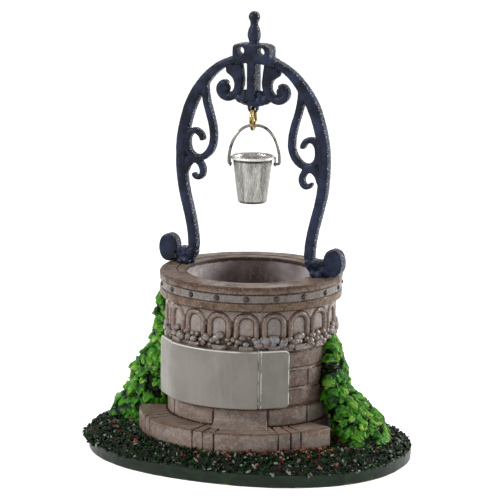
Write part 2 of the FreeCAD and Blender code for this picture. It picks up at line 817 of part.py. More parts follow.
def main():
    os.makedirs("parts", exist_ok=True)
    export("base_plate", make_base_plate())
    export("planting_bed", make_planting())
    export("stone_step", make_step())
    export("plinth_course", make_plinth())
    export("brick_wall", make_wall())
    export("lower_moulding", make_lower_moulding())
    export("frieze_ring", make_frieze())
    export("frieze_arches", make_frieze_arches())
    export("frieze_pebbles", make_frieze_pebbles())
    export("cap_moulding", make_cap_moulding())
    export("rivet_band", make_band())
    export("band_rivets", make_rivets())
    export("coping_ring", make_coping())
    make_sign()
    make_arch()
    export("jump_ring", make_ring())
    export("bucket_bail", make_bail())
    export("bucket", make_bucket())
    export("bucket_ears", make_ears())
    export("left_ivy", make_ivy(left_ivy_levels, left_ivy_angle))
    export("right_ivy", make_ivy(right_ivy_levels, right_ivy_angle))


main()
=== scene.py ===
import math
import bpy
import bmesh
import numpy as np
from mathutils import Matrix, Vector


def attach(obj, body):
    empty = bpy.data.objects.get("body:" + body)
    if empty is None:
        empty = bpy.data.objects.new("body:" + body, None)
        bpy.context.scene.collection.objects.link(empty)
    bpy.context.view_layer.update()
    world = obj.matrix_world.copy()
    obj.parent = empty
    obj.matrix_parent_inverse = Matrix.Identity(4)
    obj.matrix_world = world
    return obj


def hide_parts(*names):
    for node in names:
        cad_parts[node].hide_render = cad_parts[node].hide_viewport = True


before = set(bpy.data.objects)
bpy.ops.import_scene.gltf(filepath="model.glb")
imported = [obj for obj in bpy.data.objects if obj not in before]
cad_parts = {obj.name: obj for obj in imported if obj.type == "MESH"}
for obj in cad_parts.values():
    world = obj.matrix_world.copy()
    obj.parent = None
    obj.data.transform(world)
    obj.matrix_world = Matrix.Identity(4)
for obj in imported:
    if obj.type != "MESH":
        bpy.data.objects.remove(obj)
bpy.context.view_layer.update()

mm = 0.001

# A hand-painted cast-resin wishing well, about 100 mm tall. All lengths below are millimetres.


# Small tools

def hexColour(text):
    channels = [int(text[i:i + 2], 16) / 255 for i in (1, 3, 5)]
    linear = [c / 12.92 if c <= 0.04045 else ((c + 0.055) / 1.055) ** 2.4 for c in channels]
    return (*linear, 1.0)


def blockNoise(points, size, seed):
    # random values on a cubic lattice, eased between the eight corners of each cell, from -1 to 1
    q = np.asarray(points, float) / size + 500.0
    cell = np.floor(q).astype(np.int64)
    part = q - cell
    part = part * part * (3 - 2 * part)
    total = np.zeros(q.shape[:-1])
    for corner in np.ndindex(2, 2, 2):
        x, y, z = np.moveaxis(cell + corner, -1, 0)
        h = x * 73856093 ^ y * 19349663 ^ z * 83492791 ^ seed * 2654435
        h = (h ^ (h >> 13)) * 1274126177
        value = ((h >> 8) & 65535) / 32767.5 - 1
        weight = np.where(corner, part, 1 - part)
        total += value * weight[..., 0] * weight[..., 1] * weight[..., 2]
    return total


def layeredNoise(points, size, seed, layers=3):
    # block noise added at halving sizes and halving strengths
    total = sum(blockNoise(points, size / 2 ** i, seed + 17 * i) / 2 ** i for i in range(layers))
    return total / (2 - 2 ** (1 - layers))


def smoothStep(low, high, value):
    t = np.clip((value - low) / (high - low), 0, 1)
    return t * t * (3 - 2 * t)


def bell(value, width):
    # 1 at zero, falling away on both sides over about the width
    return np.exp(-(value / width) ** 2)


def fullTurn(count):
    # even angles once round, in radians
    return np.linspace(0, 2 * math.pi, count, endpoint=False)


def angleGap(a, b):
    # smallest difference between two angles, in radians
    return (a - b + math.pi) % (2 * math.pi) - math.pi


def besideFront(angle):
    # an angle's difference from the front, in degrees
    return np.degrees(angleGap(angle, 0))


def atAngle(angle, radius, height):
    # a point from its angle from the front, in radians, its distance from the axis and its height
    angle, radius, height = np.broadcast_arrays(angle, radius, height)
    return np.stack([radius * np.sin(angle), -radius * np.cos(angle), height], -1)


def densePath(corners, step):
    # a path of (radius, height) corners, cut into even steps, with close pairs beside each corner
    corners = np.asarray(corners, float)
    path = []
    for first, second in zip(corners[:-1], corners[1:]):
        length = np.linalg.norm(second - first)
        count = max(1, int(round(length / step)))
        edge = min(0.06, length / 4) / length
        shares = np.concatenate([[0, edge], np.linspace(0, 1, count + 1)[1:-1], [1 - edge]])
        path.append(first + (second - first) * np.sort(shares)[:, None])
    path.append(corners[-1:])
    return np.concatenate(path)


def arcPath(centre, radius, start, end, count):
    # points on an arc in the (radius, height) plane, angles in degrees from outwards to up
    a = np.radians(np.linspace(start, end, count))
    return np.stack([centre[0] + radius * np.cos(a), centre[1] + radius * np.sin(a)], -1)


def cubicThrough(points, samples):
    # natural cubic spline through the points, by chord length: a tridiagonal system for the
    # second differences, then each span's cubic
    p = np.asarray(points, float)
    chord = np.linalg.norm(np.diff(p[:, :2], axis=0), axis=1)
    t = np.concatenate([[0], np.cumsum(chord)])
    n = len(p)
    system = np.eye(n)
    right = np.zeros_like(p)
    for i in range(1, n - 1):
        a, b = t[i] - t[i - 1], t[i + 1] - t[i]
        system[i, i - 1:i + 2] = a, 2 * (a + b), b
        right[i] = 6 * ((p[i + 1] - p[i]) / b - (p[i] - p[i - 1]) / a)
    bend = np.linalg.solve(system, right)
    s = np.linspace(0, t[-1], samples)
    k = np.clip(np.searchsorted(t, s, side="right") - 1, 0, n - 2)
    h = (t[k + 1] - t[k])[:, None]
    u = (s[:, None] - t[k][:, None]) / h
    v = 1 - u
    curved = (v ** 3 - v) * bend[k] + (u ** 3 - u) * bend[k + 1]
    return v * p[k] + u * p[k + 1] + h * h / 6 * curved


def addObject(name, data):
    piece = bpy.data.objects.new(name, data)
    bpy.context.scene.collection.objects.link(piece)
    return piece


def facesOfGrid(rows, columns, closeRows, closeColumns):
    # four corners of every cell of a grid, wrapping where a direction is closed
    r = np.arange(rows if closeRows else rows - 1)
    c = np.arange(columns if closeColumns else columns - 1)
    i, j = np.meshgrid(r, c, indexing="ij")
    i2, j2 = (i + 1) % rows, (j + 1) % columns
    quads = np.stack([i * columns + j, i * columns + j2, i2 * columns + j2, i2 * columns + j], -1)
    return quads.reshape(-1, 4)


def makeMesh(name, points, quads, triangles=(), marks=None, smooth=True):
    # puts whole arrays of corners and faces into a mesh; a closed shell is turned outwards by the
    # sign of the volume that its faces enclose
    points = np.asarray(points, float)
    quads = np.asarray(quads, np.int64).reshape(-1, 4)
    triangles = np.asarray(triangles, np.int64).reshape(-1, 3)
    split = np.concatenate([quads[:, [0, 1, 2]], quads[:, [0, 2, 3]], triangles])
    a, b, c = points[split[:, 0]], points[split[:, 1]], points[split[:, 2]]
    if np.einsum("ij,ij->i", a, np.cross(b, c)).sum() < 0:
        quads, triangles = quads[:, ::-1], triangles[:, ::-1]
    corners = np.concatenate([quads.ravel(), triangles.ravel()]).astype(np.int32)
    sizes = np.concatenate([np.full(len(quads), 4), np.full(len(triangles), 3)]).astype(np.int32)
    starts = (np.cumsum(sizes) - sizes).astype(np.int32)
    mesh = bpy.data.meshes.new(name)
    mesh.vertices.add(len(points))
    mesh.vertices.foreach_set("co", (points * mm).astype(np.float32).ravel())
    mesh.loops.add(len(corners))
    mesh.loops.foreach_set("vertex_index", corners)
    mesh.polygons.add(len(sizes))
    mesh.polygons.foreach_set("loop_start", starts)
    mesh.polygons.foreach_set("loop_total", sizes)
    mesh.polygons.foreach_set("use_smooth", np.full(len(sizes), smooth))
    mesh.update(calc_edges=True)
    mesh.validate()
    for mark, values in (marks or {}).items():
        layer = mesh.attributes.new(mark, "FLOAT", "POINT")
        layer.data.foreach_set("value", np.asarray(values, np.float32).ravel())
    return addObject(name, mesh)


def gridPiece(name, grid, closeRows=False, closeColumns=False, endRows=False, endColumns=False,
              marks=None):
    # a grid of points as a surface; an open end is closed by a fan to the middle of its edge
    rows, columns = grid.shape[:2]
    index = np.arange(rows * columns).reshape(rows, columns)
    ends = [index[0], index[-1][::-1]] if endRows else []
    if endColumns:
        ends += [index[:, 0][::-1], index[:, -1]]
    fans = [np.stack([np.roll(ring, -1), ring, np.full(len(ring), index.size + k)], -1)
            for k, ring in enumerate(ends)]

    def withMiddles(values):
        return np.concatenate([values, *(values[ring].mean(0, keepdims=True) for ring in ends)])

    spread = {mark: withMiddles(np.asarray(v, float).ravel()) for mark, v in (marks or {}).items()}
    return makeMesh(name, withMiddles(grid.reshape(-1, 3)),
                    facesOfGrid(rows, columns, closeRows, closeColumns),
                    np.concatenate(fans) if fans else (), spread)


def closedBall(rings, sides):
    # a unit ball of triangles: rings that stop short of the poles, and one corner at each pole
    v = np.linspace(-math.pi / 2 + 0.12, math.pi / 2 - 0.12, rings)[:, None]
    u = fullTurn(sides)
    grid = np.stack(np.broadcast_arrays(np.cos(v) * np.cos(u), np.cos(v) * np.sin(u),
                                        np.sin(v)), -1)
    quads = facesOfGrid(rings, sides, False, True)
    ring = np.arange(sides)
    following = (ring + 1) % sides
    top = (rings - 1) * sides
    low = np.stack([following, ring, np.full(sides, rings * sides)], -1)
    high = np.stack([ring + top, following + top, np.full(sides, rings * sides + 1)], -1)
    points = np.concatenate([grid.reshape(-1, 3), [[0, 0, -1], [0, 0, 1]]])
    return points, np.concatenate([quads[:, [0, 1, 2]], quads[:, [0, 2, 3]], low, high])


def scatter(name, shape, faces, frames, centres, marks=None, smooth=True):
    # copies of one small shape of triangles, each turned and scaled by its own matrix, in one mesh
    points = np.einsum("nij,kj->nki", frames, shape) + centres[:, None, :]
    size = len(shape)
    allFaces = faces[None] + (np.arange(len(centres)) * size)[:, None, None]
    spread = {mark: np.repeat(v, size) for mark, v in (marks or {}).items()}
    return makeMesh(name, points.reshape(-1, 3), (), allFaces, spread, smooth)


def randomTurns(dice, count):
    # turning matrices from random unit quaternions
    q = dice.normal(size=(count, 4))
    w, x, y, z = (q / np.linalg.norm(q, axis=1)[:, None]).T
    rows = ((1 - 2 * (y * y + z * z), 2 * (x * y - z * w), 2 * (x * z + y * w)),
            (2 * (x * y + z * w), 1 - 2 * (x * x + z * z), 2 * (y * z - x * w)),
            (2 * (x * z - y * w), 2 * (y * z + x * w), 1 - 2 * (x * x + y * y)))
    return np.stack([np.stack(row, -1) for row in rows], 1)


def finishPiece(piece, body, material, slot, *nodes):
    piece.data.materials.clear()
    piece.data.materials.append(material)
    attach(piece, body)
    if nodes:
        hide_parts(*nodes)


# Materials

def newMaterial(name):
    material = bpy.data.materials.new(name)
    material.use_nodes = True
    material.node_tree.nodes.clear()
    return material


def addNode(material, kind, inputs=None, output=0, **settings):
    # adds one node and gives back one of its outputs, or the node itself for an output of None;
    # an input given as a socket is linked, any other value is set on the input
    tree = material.node_tree
    node = tree.nodes.new(kind)
    for key, value in settings.items():
        setattr(node, key, value)
    for socket, value in (inputs or {}).items():
        if isinstance(value, bpy.types.NodeSocket):
            tree.links.new(value, node.inputs[socket])
        else:
            node.inputs[socket].default_value = value
    return node if output is None else node.outputs[output]


def startPaint(name, patterns, marks=()):
    # a new material, its noise patterns and the marks that its mesh carries; a pattern is given as
    # millimetres across, detail and roughness, and a mapping where it is drawn out
    material = newMaterial(name)
    place = addNode(material, "ShaderNodeTexCoord", output="Object")
    found = [material]
    for size, detail, roughness, *mapping in patterns:
        where = place
        if mapping:
            where = addNode(material, "ShaderNodeMapping", {"Vector": place, **mapping[0]})
        found.append(addNode(material, "ShaderNodeTexNoise", {
            "Vector": where, "Scale": 1 / (size * mm), "Detail": detail, "Roughness": roughness}))
    for mark in marks:
        found.append(addNode(material, "ShaderNodeAttribute", output="Fac", attribute_name=mark))
    return found


def layCoats(material, under, *coats):
    # coats of paint over a colour, one after another; a coat is given as its colour, its pattern,
    # the pattern's value where it starts, the value where it covers fully, and its strength
    colour = hexColour(under)
    for over, pattern, low, high, strength in coats:
        share = addNode(material, "ShaderNodeMapRange", {
            0: pattern, 1: low, 2: high, 3: 0.0, 4: strength}, interpolation_type="SMOOTHSTEP")
        colour = addNode(material, "ShaderNodeMix", {0: share, 6: colour, 7: hexColour(over)}, 2,
                         data_type="RGBA")
    return colour


glossNames = {"specular": "Specular IOR Level", "coat": "Coat Weight",
              "coatRoughness": "Coat Roughness", "metallic": "Metallic"}


def finishPaint(material, colour, rough, relief=None, **gloss):
    # puts the shader on; rough is a number, or a pattern, two of its values and the roughness at
    # each; relief is a pattern, or a pattern, its factor and a finer pattern, and then the bump's
    # strength and its depth in millimetres
    skin = {glossNames[key]: value for key, value in gloss.items()}
    skin.update({"Base Color": colour, "Roughness": rough})
    if isinstance(rough, tuple):
        skin["Roughness"] = addNode(material, "ShaderNodeMapRange", dict(enumerate(rough)))
    if relief:
        height, *finer, strength, depth = relief
        if finer:
            height = addNode(material, "ShaderNodeMath", {0: height, 1: finer[0], 2: finer[1]},
                             operation="MULTIPLY_ADD")
        skin["Normal"] = addNode(material, "ShaderNodeBump", {
            "Height": height, "Strength": strength, "Distance": depth * mm})
    shader = addNode(material, "ShaderNodeBsdfPrincipled", skin)
    addNode(material, "ShaderNodeOutputMaterial", {"Surface": shader}, None)
    return material


# what the stone paints share, and what each has of its own: its name, its main, wash (also laid
# as painted shade), deep, pale and rust colours, and the values that differ
resin = {
    "cloudSize": 3.0, "stain": 0.7, "rusty": 0.6, "flecks": 0.55, "gloss": 0.46, "varnish": 1.0,
    "toneWash": 0.8, "paintedGlints": 0.45,
}
resinPaints = {
    "coping": ("brownGreyResinPaint", ("#86766c", "#543c2d", "#21160f", "#aea096", "#8b6a4d"), {
        "cloudSize": 3.4, "stain": 0.85, "rusty": 0.7, "flecks": 0.6, "gloss": 0.5,
        "varnish": 0.35}),
    "band": ("greyResinPaint", ("#8b837e", "#6a574a", "#261a14", "#b3aba6", "#7e6654"), {
        "cloudSize": 2.6, "stain": 0.45, "rusty": 0.4, "flecks": 0.5, "gloss": 0.4,
        "varnish": 1.3}),
    "rivet": ("rivetResinPaint", ("#5d534e", "#3a2f2a", "#18110e", "#a39a95", "#5a463a"), {
        "cloudSize": 1.2, "stain": 0.6, "rusty": 0.3, "flecks": 0.5, "gloss": 0.34,
        "varnish": 2.0}),
    "moulding": ("brownResinPaint", ("#7a6757", "#4e3727", "#1d120c", "#a3917f", "#8c6744"), {
        "cloudSize": 2.4, "stain": 0.75, "rusty": 0.75, "flecks": 0.7}),
    "frieze": ("arcadeResinPaint", ("#a0968f", "#84695a", "#1b120d", "#cbc2bc", "#8c6c52"), {
        "cloudSize": 2.2, "stain": 0.25, "rusty": 0.3, "flecks": 0.5, "gloss": 0.36,
        "varnish": 2.4, "paintedGlints": 0.6}),
    "pebble": ("pebbleResinPaint", ("#958a82", "#654b3b", "#271a13", "#c6bfba", "#7d6452"), {
        "cloudSize": 1.3, "stain": 0.5, "rusty": 0.4, "flecks": 0.5, "gloss": 0.24,
        "varnish": 4.0, "paintedGlints": 0.7}),
    "brick": ("brickResinPaint", ("#877a72", "#664f42", "#2b1e18", "#a89c94", "#7b5e4a"), {
        "cloudSize": 2.6, "rusty": 0.55, "flecks": 0.5}),
    "slab": ("stepResinPaint", ("#a5988f", "#6b5040", "#1d130d", "#c3b9b2", "#8c6a4f"), {
        "cloudSize": 4.2, "stain": 0.55, "flecks": 0.5}),
    "shaft": ("shaftPaintAndPaintedLight", ("#ebe2e4", "#5c4d45", "#2b211c", "#a39894", "#7b6c64"), {
        "cloudSize": 5.0, "stain": 0.2, "rusty": 0.3, "flecks": 0.1, "gloss": 0.5,
        "varnish": 0.5, "toneWash": 1.0, "paintedGlints": 0.0}),
}


def paintedResin(name, colours, values):
    # Polyresin casting, brush-painted in a flat stone colour, stained with two browns, with dark
    # wash left in the hollows and painted shade where a piece marks it, pale paint dragged over the
    # raised grain and a patchy satin varnish: soft blotches, freckles of both kinds, dark joints
    # and small painted white glints. Where the tone is far below zero, a blue-grey stone shows.
    v = {**resin, **values}
    main, washAndPaintedLight, deep, pale, rust = colours
    squashed = {"Scale": (0.6, 0.6, 1.5), "Location": (0.5, 0.2, 0.7)}
    m, cloud, streak, blot, grain, hollow, tone = startPaint(name, [
        (v["cloudSize"], 5.0, 0.62), (v["cloudSize"] * 0.8, 5.0, 0.66, squashed), (0.9, 4.0, 0.62),
        (0.34, 2.0, 0.6)], ["hollow", "tone"])
    ragged = addNode(m, "ShaderNodeMath", {0: blot, 1: 0.9, 2: hollow}, operation="MULTIPLY_ADD")
    colour = layCoats(
        # the tone coat also lays the painted light and shade round the shaft lining
        m, main, (washAndPaintedLight, cloud, 0.46, 0.6, v["stain"]), (washAndPaintedLight, tone, 0.0, 1.0, v["toneWash"]),
        (rust, streak, 0.49, 0.62, v["rusty"]), (pale, blot, 0.52, 0.66, 0.5),
        # below zero the hollow mark gives pale mortar on the bricks, and on the arcade rolls'
        # crests a pale worn paint that is partly a painted highlight
        (pale, hollow, -0.1, -0.9, 0.85), ("#8d939b", tone, -0.5, -0.8, 0.8),
        # dark wash in joints and hollows, and painted shade where a piece marks it
        (washAndPaintedLight, ragged, 0.5, 0.85, 0.9), (deep, ragged, 0.82, 1.2, 0.97),
        # dark freckles, then small painted white glints
        (deep, grain, 0.56, 0.7, v["flecks"]), ("#ddd5cf", grain, 0.38, 0.29, v["paintedGlints"]))
    return finishPaint(m, colour, (cloud, 0.35, 0.65, v["gloss"] - 0.16, v["gloss"] + 0.12),
                       (blot, 1.8, grain, 0.9, 0.06), specular=0.2, coat=0.16 * v["varnish"],
                       coatRoughness=0.13)


def signPaint():
    # Polyresin plaque in smooth warm-grey satin enamel, laid on with a wide brush: nearly even,
    # with faint upright brush marks, a painted white highlight along its rounded top edge and at
    # the folds, and painted shade along its bottom edge and in the folds.
    m, cloud, brush, grain, hollow = startPaint("warmGreyEnamel", [
        (7.0, 3.0, 0.5), (1.2, 3.0, 0.5, {"Scale": (1, 1, 0.08)}), (0.5, 2.0, 0.5)], ["hollow"])
    colour = layCoats(
        m, "#938d84", ("#847e76", cloud, 0.35, 0.7, 1.0), ("#a9a49c", brush, 0.5, 0.75, 0.25),
        # then painted shade where the hollow mark is high, and painted white highlights where it is
        # below zero
        ("#6f6963", grain, 0.62, 0.74, 0.3), ("#3f3833", hollow, 0.25, 1.0, 0.9),
        ("#f2efea", hollow, -0.15, -0.8, 0.95))
    return finishPaint(m, colour, (cloud, 0.3, 0.7, 0.34, 0.46), (brush, 2.0, grain, 0.5, 0.03),
                       specular=0.4, coat=0.32, coatRoughness=0.12)


def castIron():
    # Cast arch in blue-black semi-gloss paint over an as-cast skin: nearly smooth in front and
    # sandy on the sides, with lighter blue-grey blotches that are partly uneven paint and partly
    # painted sheen, and a small painted white glint on each grain of the sides.
    m, cloud, grit, waves = startPaint("blueBlackPaintOnCasting", [
        (3.2, 4.0, 0.5), (0.27, 1.0, 0.6), (1.5, 3.0, 0.5)])
    facing = addNode(m, "ShaderNodeTexCoord", output="Normal")
    turned = addNode(m, "ShaderNodeSeparateXYZ", {0: facing}, "Y")
    level = addNode(m, "ShaderNodeMath", {0: turned}, operation="ABSOLUTE")
    side = addNode(m, "ShaderNodeMapRange", {0: level, 1: 0.85, 2: 0.5, 3: 0.12, 4: 1.0})
    gritAndGlints = addNode(m, "ShaderNodeMath", {0: grit, 1: side}, operation="MULTIPLY")
    # lighter blotches: uneven paint and painted sheen; white specks on the sides: painted glints
    colour = layCoats(m, "#101422", ("#2d3650", cloud, 0.34, 0.68, 1.0),
                      ("#dfe6f2", gritAndGlints, 0.625, 0.655, 0.95))
    return finishPaint(m, colour, (cloud, 0.3, 0.7, 0.24, 0.42), (waves, 1.6, gritAndGlints, 1.0, 0.2),
                       specular=0.14, coat=0.05, coatRoughness=0.08)


def leafPaint():
    # Cast ivy in two greens of enamel, dark towards the stalks and yellow-green at the tips, with
    # near-black painted shade in the gaps between leaves and against the wall, under a thick gloss
    # varnish that gives wet white glints.
    m, cloud, tone, hollow = startPaint("ivyEnamel", [(1.3, 3.0, 0.5)], ["tone", "hollow"])
    colour = layCoats(
        m, "#173f0e", ("#4b9a22", tone, 0.2, 0.8, 1.0), ("#a6d455", tone, 0.75, 1.1, 0.85),
        # dark green mottling, then near-black painted shade where the hollow mark is high
        ("#0b2407", cloud, 0.52, 0.38, 0.75), ("#051403", hollow, 0.1, 0.7, 1.0))
    return finishPaint(m, colour, 0.4, (cloud, 0.8, 0.22), specular=0.04, coat=0.17,
                       coatRoughness=0.06)


def stumpPaint():
    # The ivy's stump in red-brown enamel with a dull varnish, darker in its furrows.
    m, furrow = startPaint("redBrownEnamel", [(0.7, 3.0, 0.5, {"Scale": (1, 1, 0.4)})])
    colour = layCoats(m, "#6d4636", ("#23120d", furrow, 0.44, 0.6, 1.0))
    return finishPaint(m, colour, 0.5, (furrow, 0.8, 0.2), specular=0.25)


def groundPaint(name, dark, mid, pale, share=0.95):
    # Crumbled resin ground cover in enamel, under gloss varnish: black gaps and sharp white glints.
    # Above a share of its tones a crumb is painted pale: a painted highlight among the green
    # crumbs, a lighter red among the flowers.
    m, cloud, tone = startPaint(name, [(1.1, 3.0, 0.5)], ["tone"])
    colour = layCoats(m, dark, (mid, cloud, 0.42, 0.66, 1.0),
                      (pale, tone, share, share + 0.03, 1.0))
    return finishPaint(m, colour, 0.3, specular=0.07, coat=0.13, coatRoughness=0.06)


def basePaint():
    # Base rim in smooth bottle-green enamel, brushed level, rubbed through to pink-buff resin in
    # patches along the bottom edge.
    m, brush, patch = startPaint("bottleGreenEnamel", [
        (2.2, 4.0, 0.5, {"Scale": (0.45, 0.45, 1.6)}), (6.0, 3.0, 0.5)])
    place = addNode(m, "ShaderNodeTexCoord", output="Object")
    height = addNode(m, "ShaderNodeSeparateXYZ", {0: place}, "Z")
    low = addNode(m, "ShaderNodeMapRange", {0: height, 1: 1.3 * mm, 2: 0.2 * mm, 3: 0.0, 4: 1.0})
    worn = addNode(m, "ShaderNodeMath", {0: patch, 1: low}, operation="MULTIPLY")
    colour = layCoats(m, "#0d180f", ("#1c3120", brush, 0.35, 0.7, 1.0),
                      ("#24481f", patch, 0.54, 0.68, 0.55), ("#b08a62", worn, 0.48, 0.58, 1.0))
    return finishPaint(m, colour, 0.4, (brush, 0.5, 0.06), specular=0.16, coat=0.1,
                       coatRoughness=0.2)


def brushedPail():
    # Pressed tin pail, brushed upright: fine bright and dark streaks down the wall, darker round
    # the foot, with painted shade in the lip's groove and deep in the mouth, and painted highlights
    # on the rolled lip and at the mouth's two sides.
    m, fine, pitted, streak, hollow = startPaint("brushedTin", [
        (0.17, 2.0, 0.5, {"Scale": (1, 1, 0.035)}), (0.35, 2.0, 0.5)], ["streak", "hollow"])
    colour = layCoats(
        m, "#75736e", ("#a9a7a2", streak, 0.2, 0.85, 1.0), ("#4a4640", fine, 0.54, 0.7, 0.42),
        ("#eeece8", fine, 0.42, 0.3, 0.42), ("#55504a", pitted, 0.6, 0.74, 0.3),
        # dark where the hollow mark is high: painted shade, and darker round the foot; white below
        # zero: painted highlights
        ("#1d1813", hollow, 0.2, 1.0, 0.97), ("#f6f4ee", hollow, -0.1, -0.9, 0.85))
    return finishPaint(m, colour, (fine, 0.3, 0.7, 0.22, 0.42), (fine, 1.5, pitted, 0.8, 0.05),
                       metallic=1.0)


def drawnWire():
    # Tinned steel wire, drawn and a little dull.
    m, dull = startPaint("tinnedWire", [(2.2, 2.0, 0.5)])
    colour = layCoats(m, "#7f7c75", ("#34312d", dull, 0.45, 0.65, 1.0))
    return finishPaint(m, colour, (dull, 0.3, 0.7, 0.16, 0.34), metallic=1.0)


def polishedBrass():
    # Polished brass ring with a thin brown tarnish in places.
    m, tarnish = startPaint("polishedBrass", [(1.1, 3.0, 0.5)])
    colour = layCoats(m, "#a08c5c", ("#523f22", tarnish, 0.42, 0.66, 1.0))
    return finishPaint(m, colour, (tarnish, 0.3, 0.7, 0.14, 0.3), metallic=1.0)


stonePaints = {key: paintedResin(*values) for key, values in resinPaints.items()}
print("materials ready")


# Ring-shaped stonework. A closed outline in the (radius, height) plane is turned about the axis,
# and a relief function moves its outer face in or out.

def stoneRing(name, nodes, paint, outline, relief, columns, start=0.0, sweep=360.0):
    # each point of the outline is carried round the axis and moved out and up by its relief
    whole = sweep >= 360.0
    angle = np.radians(np.linspace(start, start + sweep, columns, endpoint=not whole))
    a, r, z = np.broadcast_arrays(angle[None], outline[:, :1], outline[:, 1:])
    shiftR, shiftZ, hollow, tone = relief(a, r, z)
    piece = gridPiece(name, atAngle(a, r + shiftR, z + shiftZ), closeRows=True,
                      closeColumns=whole, endColumns=not whole,
                      marks={"hollow": hollow, "tone": tone})
    finishPiece(piece, "well", stonePaints[paint], "stone_paint", *nodes)


def wallOutline(part, fine, coarse):
    # an upright outer face in fine steps, and the top and the bore behind it in coarse ones
    radius, bore, bottom, top = (part[k] for k in ("radius", "bore", "bottom", "top"))
    return np.concatenate([densePath([(radius, bottom), (radius, top)], fine),
                           densePath([(radius, top), (bore, top), (bore, bottom)], coarse)[1:]])


wallFace = 18.0             # outer faces lie beyond this radius
nearAxis = 0.02             # outlines stop this far from the axis


def onOuter(r):
    # 1 on the outer face of the wall, 0 on the bore
    return smoothStep(wallFace - 1, wallFace, r)


def surfaceWaver(a, r, z, seed, size, depth):
    return depth * layeredNoise(atAngle(a, r, z), size, seed)


plinth = {
    "radius": 18.5, "bottom": 3.0, "top": 14.2, "floor": 10.2, "bore": 14.3, "edge": 0.35,
    "joints": (-122, -82, -41, -1.7, 37, 68, 109, 149, 198),
    "jointWidth": 0.42, "jointDepth": 0.34,
    # a fillet of filler over the step, between two angles in degrees
    "coveFrom": -1.7, "coveTo": 37.0, "coveHeight": 2.3, "coveReach": 2.2, "coveEnd": 2.0,
}


def makePlinth():
    p = plinth
    radius, bottom, top, floor = p["radius"], p["bottom"], p["top"], p["floor"]
    edge, bore = p["edge"], p["bore"]
    outline = np.concatenate([
        densePath([(nearAxis, bottom), (radius - 0.3, bottom)], 3.0),
        densePath([(radius, bottom + 0.3), (radius, top - edge)], 0.13),
        arcPath((radius - edge, top - edge), edge, 15, 90, 6),
        densePath([(radius - 0.6, top), (bore, top), (bore, floor), (nearAxis, floor)], 0.9)])

    def relief(a, r, z):
        outer = onOuter(r)
        shift = surfaceWaver(a, r, z, seed=11, size=2.2, depth=0.09) * outer
        hollow = np.zeros_like(r)
        tone = 0.3 + 0.2 * layeredNoise(atAngle(a, r, z), 6.0, 12)
        waver = 0.12 * blockNoise(atAngle(a, wallFace, z), 1.6, 13)
        for joint in p["joints"]:
            toJoint = np.abs(angleGap(a, math.radians(joint))) * radius + waver
            groove = 1 - smoothStep(0.0, p["jointWidth"], toJoint)
            groove = groove * outer * smoothStep(floor - 0.6, floor, z)
            shift -= p["jointDepth"] * groove
            hollow = np.maximum(hollow, groove)
        seam = 1 - smoothStep(0.0, 0.5, np.abs(z - floor))
        beside = besideFront(a)
        coved = smoothStep(p["coveFrom"], p["coveFrom"] + p["coveEnd"], beside) * (
            1 - smoothStep(p["coveTo"] - p["coveEnd"], p["coveTo"], beside))
        rise = np.clip((z - floor) / p["coveHeight"], 0, 1)
        shift += p["coveReach"] * (1 - rise) ** 2.6 * coved * outer * (z > floor - 0.3)
        # dark along the seam on the step, except at the cove; painted shade along the top of the
        # outer face, as under the sign's overhang
        hollow = np.maximum(hollow, 0.75 * seam * outer * (1 - coved))
        hollow = np.maximum(hollow, 0.45 * smoothStep(top - 0.9, top, z) * outer)
        return shift, 0, hollow, tone

    stoneRing("plinthBlocks", ["plinth_course"], "slab", outline, relief, columns=700)


wall = {
    "radius": 18.1, "bottom": 14.2, "top": 26.8, "bore": 14.3, "course": 4.2, "courses": 3,
    "bricks": 9, "firstJoint": 8.5, "mortar": 0.34, "depth": 0.26,
}


def makeWall():
    w = wall
    dice = np.random.default_rng(5)
    standing = dice.uniform(-0.07, 0.09, (w["courses"], w["bricks"]))
    shade = dice.uniform(0.05, 0.75, (w["courses"], w["bricks"]))
    pitch = 2 * math.pi / w["bricks"]

    def relief(a, r, z):
        outer = onOuter(r)
        place = atAngle(a, wallFace, z)
        bend = 0.16 * blockNoise(place, size=3.0, seed=21)
        bend = bend + 0.07 * blockNoise(place, size=0.8, seed=22)
        up = (z - w["bottom"] + bend) / w["course"]
        course = np.clip(np.floor(up), 0, w["courses"] - 1).astype(int)
        along = (a - math.radians(w["firstJoint"])) / pitch - np.where(course % 2, 0.5, 0.0)
        along = along + (bend / w["radius"]) / pitch
        brick = np.floor(along).astype(int) % w["bricks"]
        toJoint = np.abs(along - np.round(along)) * pitch * w["radius"]
        toBed = np.minimum(up - course, 1 - (up - course)) * w["course"]
        toEdge = np.minimum(toJoint, np.abs(toBed))
        groove = 1 - smoothStep(w["mortar"] * 0.5, w["mortar"] * 1.5, toEdge)
        edge = bell(toEdge - w["mortar"] * 1.1, 0.16)
        shift = standing[course, brick] * (1 - groove) - w["depth"] * groove
        shift += surfaceWaver(a, r, z, seed=23, size=1.6, depth=0.1)
        shift += 0.03 * blockNoise(place, size=0.5, seed=24)
        hollow = 0.75 * edge - 0.35 * groove * (1 - edge)
        tone = shade[course, brick] * (1 - groove) - 0.4 * groove
        return shift * outer, 0, hollow * outer, tone

    stoneRing("brickDrum", ["brick_wall"], "brick", wallOutline(w, fine=0.13, coarse=2.0), relief,
              columns=760)


frieze = {
    "bottom": 28.5, "top": 36.4, "radius": 18.4, "bore": 14.3, "modules": 19, "firstModule": 2.5,
    "archTop": 7.55, "archOuter": 2.95, "rollRadius": 2.28, "rollHalf": 0.62, "rollHeight": 0.72,
    "beadRadius": 1.62, "beadHalf": 0.16, "beadHeight": 0.3, "panel": 0.1, "spandrel": 0.42,
    # radius at which widths along the wall are measured, and the one of its noise patterns
    "face": 18.9, "grain": 18.8,
}


def besideArch(a, radius):
    # distance along a circle from the middle of the frieze's nearest arch
    pitch = 2 * math.pi / frieze["modules"]
    fromFirst = a - math.radians(frieze["firstModule"])
    return (fromFirst - np.round(fromFirst / pitch) * pitch) * radius


